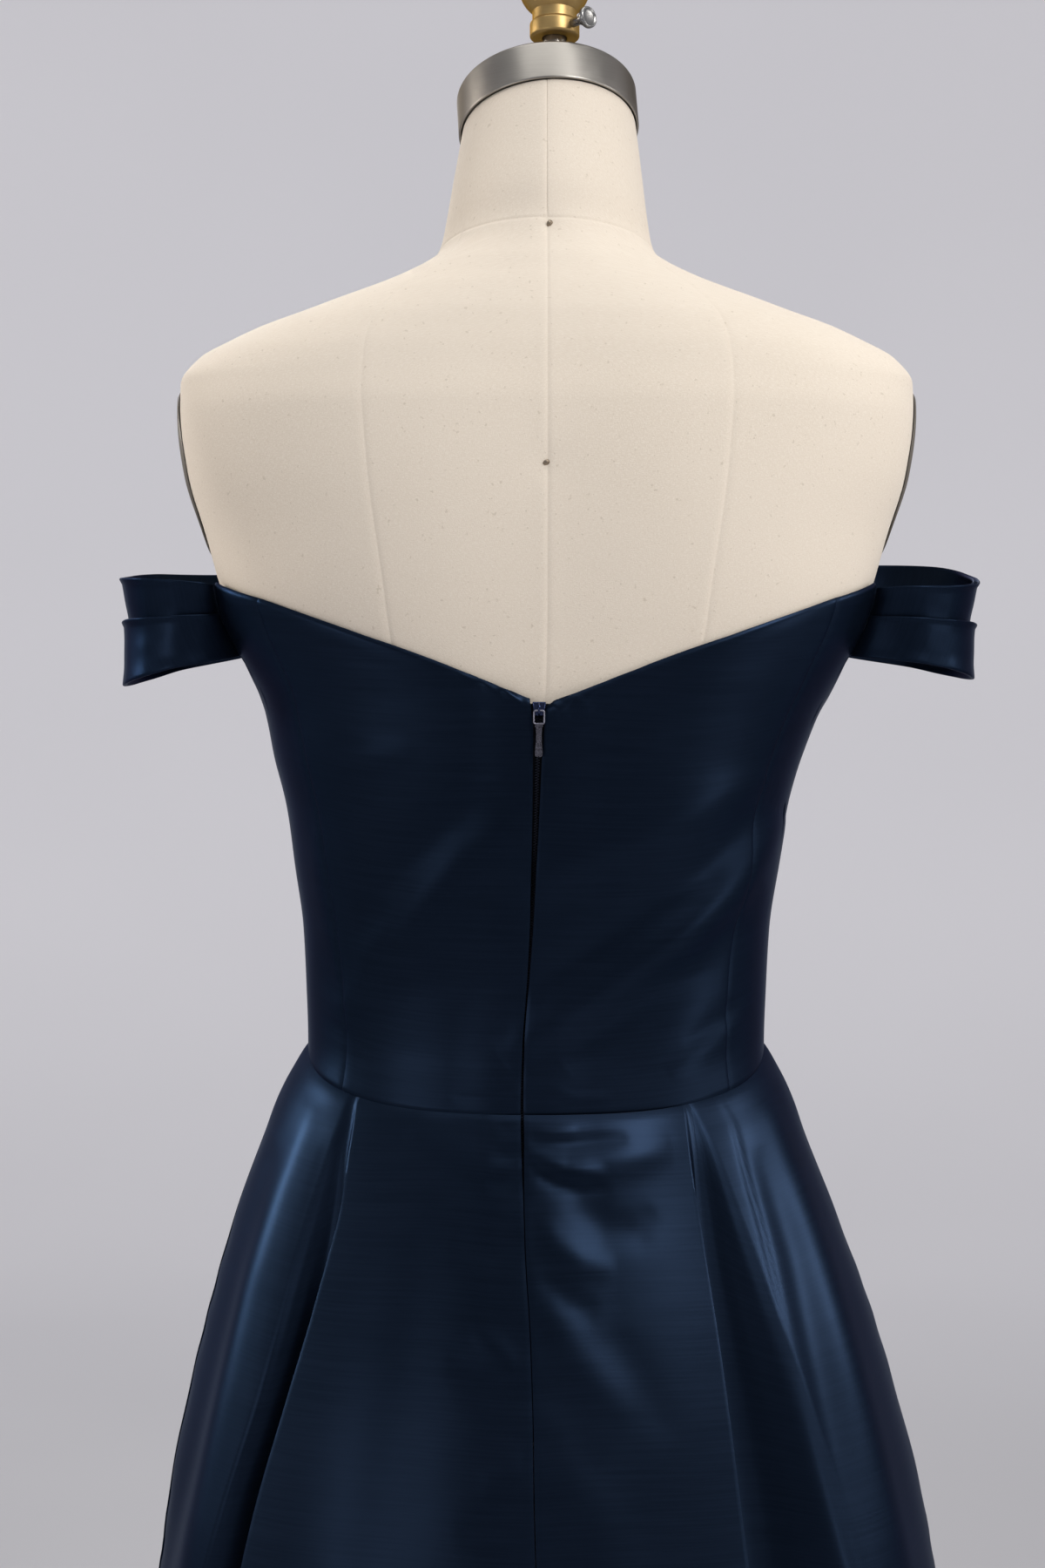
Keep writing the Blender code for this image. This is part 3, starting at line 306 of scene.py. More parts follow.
def gridOf(points, wrap=False):
    # points[i, j] become a grid of faces with a UV map in metres; wrap joins the last column to the first
    across, along = points.shape[0] - 1, points.shape[1] - 1
    mesh = bmesh.new()
    bmesh.ops.create_grid(mesh, x_segments=across, y_segments=along, size=1.0)
    steps = np.linalg.norm(np.diff(points, axis=0), axis=2)
    widths = np.concatenate([np.zeros((1, along + 1)), np.cumsum(steps, axis=0)])
    widths -= widths[across // 2]
    climbs = np.linalg.norm(np.diff(points, axis=1), axis=2)
    heights = np.concatenate([np.zeros((across + 1, 1)), np.cumsum(climbs, axis=1)], axis=1)
    cloth = mesh.loops.layers.uv.new("cloth")
    corner = {}
    for vertex in mesh.verts:
        i = round((vertex.co.x + 1) / 2 * across)
        j = round((vertex.co.y + 1) / 2 * along)
        corner[vertex] = (float(widths[i, j]), float(heights[i, j]))
        vertex.co = points[i, j]
    for face in mesh.faces:
        for loop in face.loops:
            loop[cloth].uv = corner[loop.vert]
    if wrap:
        bmesh.ops.remove_doubles(mesh, verts=mesh.verts, dist=0.01 * mm)
    return mesh


def solid(piece, thickness):
    # the cloth's own wall about the modelled surface, with crisp cut edges
    mesh = bmesh.new()
    mesh.from_mesh(piece.data)
    for edge in mesh.edges:
        if edge.is_boundary:
            edge.smooth = False
    mesh.to_mesh(piece.data)
    mesh.free()
    wall = piece.modifiers.new("wall", "SOLIDIFY")
    wall.thickness = thickness
    wall.offset = 0.0
    wall.use_even_offset = False


def closeEnds(mesh):
    bmesh.ops.holes_fill(mesh, edges=[edge for edge in mesh.edges if edge.is_boundary])
    bmesh.ops.recalc_face_normals(mesh, faces=mesh.faces)


def soften(mesh, edges, width, cuts):
    bmesh.ops.bevel(mesh, geom=edges, offset=width, segments=cuts, profile=0.5, affect="EDGES", material=-1)


def joined(target, extra):
    # adds a bmesh to another one
    data = bpy.data.meshes.new("part")
    extra.to_mesh(data)
    extra.free()
    target.from_mesh(data)
    bpy.data.meshes.remove(data)


def spunProfile(profile, steps):
    # (radius, height) points spun round Z
    mesh = bmesh.new()
    verts = [mesh.verts.new((radius, 0, height)) for radius, height in profile]
    edges = [mesh.edges.new(pair) for pair in zip(verts, verts[1:])]
    bmesh.ops.spin(mesh, geom=verts + edges, cent=(0, 0, 0), axis=(0, 0, 1), angle=math.tau, steps=steps,
                   use_merge=True, use_duplicate=False)
    bmesh.ops.remove_doubles(mesh, verts=mesh.verts, dist=0.002 * mm)
    bmesh.ops.recalc_face_normals(mesh, faces=mesh.faces)
    return mesh


def rounded(profile, radius):
    # a profile with its inner corners rounded
    cuts = 4
    made = [profile[0]]
    for before, corner, after in zip(profile, profile[1:], profile[2:]):
        a, b, c = Vector(before), Vector(corner), Vector(after)
        reach = min(radius, (a - b).length * 0.45, (c - b).length * 0.45)
        start, end = b + (a - b).normalized() * reach, b + (c - b).normalized() * reach
        for k in range(cuts + 1):
            s = k / cuts
            made.append(tuple(start * (1 - s) ** 2 + b * 2 * s * (1 - s) + end * s * s))
    return made + [profile[-1]]


# Finishes

def satinPaint():
    # tightly woven polyester satin: long floats across the cloth, faint slubs, a soft bluish sheen
    paint = Paint("navy satin", {
        "Metallic": 0.8, "Specular IOR Level": 0.13, "Specular Tint": rgb(0.27, 0.33, 0.44),
    })
    floats = paint.streaks(paint.cloth, (700.0, 5200.0, 1.0))
    slubs = paint.streaks(paint.cloth, (18.0, 900.0, 1.0), 3.0)
    cloud = paint.noise(9.0, 3.0)
    tone = paint.between(cloud, 0.3, 0.7) * 0.6 + paint.between(slubs, 0.35, 0.65) * 0.4
    colour = paint.mix(tone, rgb(0.0063, 0.0118, 0.0240), rgb(0.0096, 0.0170, 0.0342))
    rough = 0.32 + floats * 0.08 + slubs * 0.05
    weave = paint.bump(floats * 0.6 + slubs * 0.4, 0.00006, 0.5)
    return paint.set(Base_Color=colour, Roughness=rough, Normal=weave)


def linenPaint():
    # plain weave cover: fine threads both ways, slubs and specks
    paint = Paint("cream linen", {"Specular IOR Level": 0.25, "Sheen Weight": 0.15, "Sheen Roughness": 0.6})
    warp = paint.streaks(paint.cloth, (2400.0, 620.0, 1.0))
    weft = paint.streaks(paint.cloth, (620.0, 2400.0, 1.0))
    thread = paint.math("MAXIMUM", warp, weft)
    speck = paint.between(paint.noise(420.0, 2.0), 0.67, 0.74)
    cloud = paint.noise(9.0, 3.0)
    base = paint.mix(paint.between(cloud, 0.3, 0.7), rgb(0.722, 0.633, 0.524), rgb(0.752, 0.663, 0.555))
    woven = paint.mix(paint.between(thread, 0.45, 0.75), base, rgb(0.81, 0.732, 0.630))
    colour = paint.mix(speck * 0.35, woven, rgb(0.45, 0.37, 0.27))
    return paint.set(Base_Color=colour, Roughness=0.82 + cloud * 0.08, Normal=paint.bump(thread, 0.00018, 0.5))


def brushedPaint(name, scale, dark, light, roughness, rim):
    # drawn metal: fine scratches along one way, with softer clouds of wear
    paint = Paint(name, {"Metallic": 1.0, "Specular Tint": rgb(*rim)})
    lines = paint.streaks(paint.places, scale, 3.0)
    cloud = paint.noise(40.0, 3.0)
    colour = paint.mix(lines * 0.6 + cloud * 0.4, rgb(*dark), rgb(*light))
    rough = roughness + lines * 0.14 + paint.between(cloud, 0.45, 0.75) * 0.08
    return paint.set(Base_Color=colour, Roughness=rough, Normal=paint.bump(lines, 0.00004, 0.4))


def enamelPaint(name, dark, light, roughness, metallic, shine):
    # sprayed finish with a fine orange peel and a little dust
    paint = Paint(name, {"Metallic": metallic, "Specular IOR Level": shine})
    peel = paint.noise(900.0, 2.0)
    cloud = paint.noise(25.0, 4.0)
    colour = paint.mix(paint.between(cloud, 0.3, 0.75), rgb(*dark), rgb(*light))
    peeled = paint.bump(peel, 0.00005, 0.5)
    return paint.set(Base_Color=colour, Roughness=roughness + cloud * 0.12, Normal=peeled)


def tapePaint():
    # woven zip tape in fine ribs
    paint = Paint("navy zip tape", {"Specular IOR Level": 0.08, "Sheen Weight": 0.05})
    ribs = paint.ribs(paint.cloth, 260.0)
    threads = paint.streaks(paint.cloth, (900.0, 2600.0, 1.0))
    colour = paint.mix(ribs * 0.5 + threads * 0.5, rgb(0.0012, 0.0018, 0.0040), rgb(0.0035, 0.0050, 0.0100))
    ribbed = paint.bump(ribs + threads, 0.00015, 0.6)
    return paint.set(Base_Color=colour, Roughness=0.62 + threads * 0.2, Normal=ribbed)


metals = {  # name: scratches to the metre along each axis, darkest, lightest, roughness, tint at the rim
    "brushed steel": ((60, 60, 2600), (0.29, 0.272, 0.248), (0.41, 0.388, 0.36), 0.27, (0.22, 0.20, 0.175)),
    "drawn steel tube": ((900, 900, 25), (0.50, 0.48, 0.46), (0.64, 0.62, 0.60), 0.26, (1.0, 1.0, 1.0)),
    "polished steel": ((300, 300, 300), (0.24, 0.24, 0.235), (0.38, 0.375, 0.37), 0.20, (0.6, 0.6, 0.6)),
    "aged brass": ((120, 120, 1500), (0.40, 0.27, 0.11), (0.54, 0.38, 0.165), 0.36, (0.45, 0.30, 0.12)),
    "dull pin metal": ((900, 900, 900), (0.20, 0.16, 0.12), (0.36, 0.30, 0.23), 0.30, (1.0, 1.0, 1.0)),
}
enamels = {  # name: darkest, lightest, roughness, share of metal, shine
    "grey plate enamel": ((0.085, 0.072, 0.055), (0.120, 0.104, 0.082), 0.42, 0.0, 0.5),
    "black iron enamel": ((0.012, 0.012, 0.013), (0.030, 0.029, 0.028), 0.38, 0.0, 0.5),
    "navy zip enamel": ((0.020, 0.030, 0.075), (0.045, 0.060, 0.130), 0.04, 0.9, 0.5),
    "gunmetal zip pull": ((0.20, 0.20, 0.25), (0.30, 0.30, 0.36), 0.20, 0.9, 0.5),
    "navy zip coil": ((0.003, 0.004, 0.008), (0.008, 0.010, 0.018), 0.34, 0.0, 0.1),
}
satin, linen, tapeWeave = satinPaint(), linenPaint(), tapePaint()
metal = {name: brushedPaint(name, *row) for name, row in metals.items()}
enamel = {name: enamelPaint(name, *row) for name, row in enamels.items()}
print("finishes made")


# Linen cover of the form

cover = {
    "princess": (  # height, angle of the seam between centre and side
        (0.770, 40), (1.040, 34), (1.180, 35), (1.260, 37), (1.330, 42), (1.380, 47), (1.410, 50), (1.5178, 50),
    ),
    "frontPrincess": (
        (0.770, 142), (1.040, 146), (1.188, 147), (1.300, 142), (1.380, 134), (1.410, 132), (1.5178, 132),
    ),
    "columns": 26,
    "rows": (96, 44, 24),
    "shoulder": 1.36,
    "neckSeam": 1.4475,
    "nearSeam": 8 * mm,
    "closeRows": (-6, -4, -2.5, -1.6, -1.0, -0.6, -0.3, 0, 0.3, 0.6, 1.0, 1.6, 2.5, 4, 6),
    "depth": 0.30 * mm,
    "width": 0.70 * mm,
    "seamRidges": ((3, 2.4, 0.10),),  # distance, width, rise in mm
    "pins": ((-1.3, 1.4445, 1.9 * mm), (0.4, 1.3290, 1.7 * mm)),  # angle, height, radius
    "pinSink": 1.3 * mm,
    "pinRidges": ((0, 4.5, -0.9), (0, 13, -0.5)),
    "bulge": (73.0, 1.335, 8.0, 0.036, 3.0 * mm),  # angle, height, reach in degrees and in metres, rise
}


def flank(angle, level):
    # rise of the cover round the arm plates, over the bare figure
    centre, middle, reach, spread, rise = cover["bulge"]
    away = np.hypot((np.abs(turnBetween(angle, 0)) - centre) / reach, (level - middle) / spread)
    return rise * np.exp(-away * away / 2)


def makeCover():
    shares = (1 - np.cos(np.linspace(0, np.pi, cover["columns"] + 1))) / 2
    seam, shoulder, aside = cover["neckSeam"], cover["shoulder"], cover["nearSeam"]
    bodyRows, shoulderRows, neckRows = cover["rows"]
    levels = np.concatenate([
        np.linspace(figure["bottom"], shoulder, bodyRows)[:-1],
        np.linspace(shoulder, seam - aside, shoulderRows),
        seam + np.array(cover["closeRows"]) * mm,
        np.linspace(seam + aside, figure["neckTop"], neckRows),
    ])
    edges = [np.zeros_like(levels), Curve(cover["princess"])(levels), np.full_like(levels, 90.0),
             Curve(cover["frontPrincess"])(levels), np.full_like(levels, 180.0)]
    edges += [360 - edge for edge in reversed(edges[:-1])]
    angle, away = [], []
    for first, last in zip(edges, edges[1:]):
        part = first[None, :] + (last - first)[None, :] * shares[:, None]
        reach = np.radians(np.minimum(part - first, last - part)) * formRadius(part, levels[None, :])
        angle.append(part[:-1])
        away.append(reach[:-1])
    angle = np.concatenate(angle + [edges[-1][None, :]])
    away = np.concatenate(away + [np.zeros((1, len(levels)))])
    level = np.broadcast_to(levels, angle.shape)
    seamLine = dent(away, cover["width"])
    stitch = seamLine * softBump(np.maximum(0, level - seam), 3 * mm)
    stitch = np.maximum(stitch, dent(level - seam, cover["width"]))
    onNeck, atBack = level > seam + 2 * mm, angle % 360 < 1
    stitch = np.where(onNeck, np.maximum(stitch, seamLine * atBack), stitch)
    puff = ridges(away, cover["seamRidges"]) + flank(angle, level)
    for heading, middle, _ in cover["pins"]:
        apart = np.hypot(np.radians(turnBetween(angle, heading)) * formRadius(angle, level), level - middle)
        puff = puff + ridges(apart, cover["pinRidges"])
    points = formPoints(angle, level, puff - cover["depth"] * stitch)
    mesh = gridOf(points, wrap=True)
    closeEnds(mesh)
    finish("linen_cover", mesh, linen, replaced="form_torso")


makeCover()
print("linen cover made")


# Gown: how it stands off the figure

gown = {
    "ease": 2.3 * mm,
    "cloth": 1.1 * mm,
    "waist": 1.040,
    "backDip": 0.029,
    "frontDip": 0.012,
    "dipPower": 1.85,
    "hem": 0.012,
    "seamGap": 0.3 * mm,
    "zipLift": 1.7 * mm,
    "zipHip": 0.98,
    "tapeHalfWidth": 0.011,
    "zipLine": (  # height, distance to the wearer's left of the centre plane in mm
        (0.012, 6.0),
        (0.832, 5.4),
        (0.873, 4.8),
        (0.910, 4.9),
        (0.948, 5.6),
        (0.996, 6.0),
        (1.022, 6.6),
        (1.110, 2.1),
        (1.186, 0.5),
        (1.213, 2.5),
    ),
    "zipOpening": (  # height, half the gap between the panels in mm
        (0.012, 0.28),
        (0.965, 0.28),
        (1.005, 0.8),
        (1.024, 0.7),
        (1.050, 0.5),
        (1.130, 1.1),
        (1.186, 1.8),
        (1.196, 2.1),
        (1.204, 2.7),
        (1.213, 3.6),
    ),
    "flares": (  # angle, height, reach in degrees and in metres, rise
        (180, 1.195, 26, 0.100, 7.0 * mm),
        (75, 1.258, 18, 0.044, 3.4 * mm),
        (285, 1.258, 18, 0.044, 1.6 * mm),
    ),
}
zipLine = Curve(gown["zipLine"])
zipOpening = Curve(gown["zipOpening"])


def bodiceRadius(angle, height):
    sideways = np.abs(formRadius(0.0, height) * np.radians(turnBetween(angle, 0)) - zipLine(height) * mm)
    over = gown["tapeHalfWidth"]
    lift = gown["zipLift"] * softBump(np.maximum(0.0, sideways - 0.9 * over), 2.2 * over)
    for centre, level, reach, spread, rise in gown["flares"]:
        lift = lift + rise * softBump(turnBetween(angle, centre), reach) * softBump(height - level, spread)
    return formRadius(angle, height) + gown["ease"] + lift


def waistHeight(angle):
    facing = np.cos(np.radians(angle))
    dip = np.where(facing > 0, gown["backDip"], gown["frontDip"])
    return gown["waist"] - dip * (1 - (1 - np.abs(facing)) ** gown["dipPower"])


def topHeight(angle, rows):
    side = np.abs(turnBetween(angle, 0))
    return np.interp(side, [row[0] for row in rows], [row[1] for row in rows])


def zipAngle(height, side):
    across = (zipLine(height) + side * zipOpening(height)) * mm
    return np.degrees(across / formRadius(0.0, np.clip(height, gown["zipHip"], gown["waist"])))


def alongLine(points, line, width, seen=1):
    # 1 on a drawn line, fading to its sides and its ends; seen is 1 for the back and -1 for the front
    x, z = points[..., 0], points[..., 2]
    best = np.zeros_like(x)
    reach = [math.dist(a, b) for a, b in zip(line, line[1:])]
    total, done = sum(reach), 0.0
    for (ax, az), (bx, bz), length in zip(line, line[1:], reach):
        share = ((x - ax) * (bx - ax) + (z - az) * (bz - az)) / length**2
        inside = np.clip(share, 0, 1)
        away = np.hypot(x - ax - inside * (bx - ax), z - az - inside * (bz - az))
        place = (done + inside * length) / total
        fade = np.clip(np.sin(np.pi * np.clip(place, 0.0, 1.0)), 0, 1) ** 0.6
        best = np.maximum(best, dent(away, width * (0.55 + 0.45 * fade)) * fade)
        done += length
    return np.where(points[..., 1] * seen > 0, best, 0.0)


def creased(points, lines, seen=1):
    # pushes the cloth out or in along its drawn creases: line of (x, z), width and rise, all in mm
    flat = points * np.array([1, 1, 0])
    outward = flat / np.maximum(np.linalg.norm(flat, axis=-1, keepdims=True), 1e-6)
    rise = np.zeros(points.shape[:-1])
    for line, width, height in lines:
        drawn = [(x * mm, z * mm) for x, z in line]
        rise = rise + height * mm * alongLine(points, drawn, width * mm, seen)
    return points + outward * rise[..., None]


# Bodice

bodice = {
    "topEdge": (  # angle, height
        (0, 1.2090),
        (1.6, 1.2112),
        (2.6, 1.2130),
        (5, 1.2147),
        (11, 1.2193),
        (20, 1.2266),
        (41, 1.2446),
        (61, 1.2638),
        (75.0, 1.2745),
        (76.6, 1.2370),
        (82, 1.2235),
        (90, 1.2190),
        (98, 1.2235),
        (106.4, 1.2400),
        (108.0, 1.2890),
        (122, 1.2690),
        (147, 1.2470),
        (165, 1.2330),
        (180, 1.2210),
    ),
    "backSeam": ((0.0, 61), (0.5, 60), (1.0, 62)),  # share of the way up, angle
    "standOff": 0.15 * mm,
    "roll": 2.2 * mm,
    "rollDepth": 1.1 * mm,
    "topRidges": ((6, 4, 0.25),),  # distance, width, rise in mm
    "waistRidges": ((0, 0.8, -0.55),),
    "seamRidges": ((0, 0.8, -0.3), (4, 3, 0.1)),
    "backAngle": 61,
    "sideStretches": ((61, 75, 20), (75, 76.6, 6), (76.6, 90, 22)),  # from angle, to angle, cells
    "frontStretches": ((90, 106.4, 22), (106.4, 108, 6), (108, 180, 80)),
    "rows": 96,
    "backCells": 84,
    "backArea": {"left": 0.0255, "right": 0.0265},
    "creases": (  # on the back: line of (x, z), width, rise, all in mm
        (((-122, 1158), (-92, 1117), (-68, 1099), (-36, 1078), (-4, 1055), (20, 1038)), 13, 5),
        (((-116, 1170), (-80, 1128), (-44, 1102), (6, 1072)), 11, -2.6),
        (((-108, 1122), (-80, 1084), (-50, 1062), (-10, 1036)), 12, -2.4),
        (((-112, 1178), (-58, 1152), (-30, 1141), (10, 1122)), 12, 2.8),
        (((-100, 1056), (-84, 1042), (-62, 1030)), 6, 0.8),
        (((-104, 1072), (-90, 1056), (-70, 1044)), 5, -0.7),
        (((-60, 1196), (-40, 1188), (-18, 1186)), 5, 0.5),
        (((18, 1156), (50, 1122), (74, 1094), (102, 1052)), 14, 3),
        (((36, 1166), (68, 1130), (92, 1094)), 11, -1.3),
        (((114, 1150), (108, 1112), (100, 1072)), 6, 1.1),
        (((104, 1176), (84, 1186), (62, 1190)), 7, 0.6),
        (((20, 1110), (34, 1090), (42, 1064)), 7, 0.5),
        (((22.5, 1222.5), (16.5, 1216.5), (10.5, 1212.5)), 1.4, 1),
        (((16.5, 1218.5), (11.5, 1214.5), (6.5, 1213)), 1.3, -0.8),
        (((30.5, 1224), (25.5, 1219), (21.5, 1216.5)), 1.6, 0.7),
        (((44, 1230), (38.5, 1225), (34, 1223.5)), 1.8, 0.5),
        (((10, 1208), (18, 1205), (30, 1206.5)), 2.4, 0.4),
        (((-3.5, 1212.5), (-7.5, 1208.5), (-12.5, 1214), (-18, 1219.5)), 1.4, 1),
        (((-4, 1216), (-8.5, 1213.5), (-13, 1217.5)), 1.3, -0.8),
        (((-4, 1211), (-8.5, 1208), (-12, 1204)), 3.6, 0.8),
        (((-15, 1215), (-19, 1212), (-22.5, 1207)), 3.2, 0.6),
        (((-20, 1215), (-25.5, 1219.5), (-33, 1224.5)), 1.7, 0.7),
        (((-38, 1224), (-44, 1228), (-50, 1231)), 1.8, 0.5),
        (((-6, 1205), (-18, 1201), (-34, 1203.5)), 2.4, 0.4),
        (((6, 1186), (18, 1176), (34, 1171)), 3.5, 0.35),
        (((-4, 1172), (-18, 1164), (-32, 1163)), 3.5, 0.4),
        (((8, 1022), (22, 1018), (44, 1019)), 3, 0.35),
        (((-4, 1024), (-16, 1019), (-34, 1019)), 3, 0.35),
    ),
    "frontCreases": (  # the same, on the front
        (((98, 1150), (66, 1118), (30, 1078)), 9, 1.2),
        (((-100, 1146), (-70, 1112), (-34, 1070)), 9, 1.3),
        (((92, 1100), (64, 1074), (40, 1052)), 7, -0.8),
        (((-90, 1094), (-58, 1068), (-30, 1050)), 7, -0.8),
        (((100, 1208), (78, 1180), (70, 1150)), 7, 0.8),
        (((-100, 1206), (-80, 1178), (-72, 1146)), 7, 0.7),
        (((20, 1196), (4, 1188), (-20, 1192)), 6, 0.7),
        (((80, 1050), (60, 1043), (36, 1040)), 4, 0.6),
        (((-78, 1050), (-56, 1043), (-34, 1041)), 4, 0.6),
    ),
}


def panelShares(cells):
    # even steps, drawn together at both edges
    s = np.linspace(0, 1, cells + 1)
    eased = (1 - np.cos(np.pi * s)) / 2
    return blend(s, eased, 0.6)


def bodiceSheet(name, angles, firstEdge, lastEdge, flat, area, replaced):
    low, high = angles[0], angles[-1]
    share = panelShares(bodice["rows"])[None, :]
    across = ((angles - low) / (high - low))[:, None]
    angle = firstEdge(share) + across * (lastEdge(share) - firstEdge(share))
    floor = waistHeight(angle) + gown["seamGap"] / 2
    top = topHeight(angle, bodice["topEdge"])
    height = floor + (top - floor) * share
    radius = bodiceRadius(angle, height)
    lip = np.clip(1 - (top - height) / bodice["roll"], 0, 1)
    radius = radius + bodice["standOff"] - bodice["rollDepth"] * (1 - np.sqrt(np.clip(1 - lip * lip, 0, 1)))
    radius = radius + ridges(top - height, bodice["topRidges"]) + ridges(height - floor, bodice["waistRidges"])
    arc = np.radians(1.0) * radius
    for edge in (firstEdge(share), lastEdge(share)):
        radius = radius + ridges(np.abs(angle - edge) * arc, bodice["seamRidges"])
    points = around(angle, radius, height)
    points = creased(creased(points, bodice["creases"]), bodice["frontCreases"], -1)
    piece = finish(name, gridOf(points), satin, replaced=replaced)
    solid(piece, gown["cloth"])


def zipEdge(side):
    def edge(share):
        height = blend(waistHeight(0.0), topHeight(0.0, bodice["topEdge"]), share)
        return zipAngle(height, side)
    return edge


def backSeam(side, away):
    seam = Curve(bodice["backSeam"])
    return lambda share: side * (seam(share) + away * 0.04)


def upright(angle):
    return lambda share: np.full_like(share, angle)


def columnAngles(stretches):
    parts = [np.array([stretches[0][0]], float)]
    for start, end, cells in stretches:
        parts.append(np.linspace(start, end, cells + 1)[1:])
    return np.concatenate(parts)


def makeBodice():
    back = bodice["backAngle"] * panelShares(bodice["backCells"])
    for sideName, side in sides:
        edges = (zipEdge(side), backSeam(side, -1))[::side]
        bodiceSheet(f"satin_bodice_back_{sideName}", side * back[::side], *edges, (0.165, 0.255),
                    bodice["backArea"][sideName], f"bodice_back_{sideName}")
    sideBack = columnAngles(bodice["sideStretches"])
    for sideName, side in sides:
        edges = (backSeam(side, 1), upright(side * 89.9))[::side]
        bodiceSheet(f"satin_side_back_{sideName}", side * sideBack[::side], *edges, (0.085, 0.255),
                    0.0145, f"bodice_side_back_{sideName}")
    half = columnAngles(bodice["frontStretches"])
    front = np.concatenate([half, 360 - half[::-1][1:]])
    bodiceSheet("satin_bodice_front", front, upright(90.1), upright(269.9), (0.42, 0.27), 0.086, "bodice_front")


makeBodice()
print("bodice made")


# Skirt

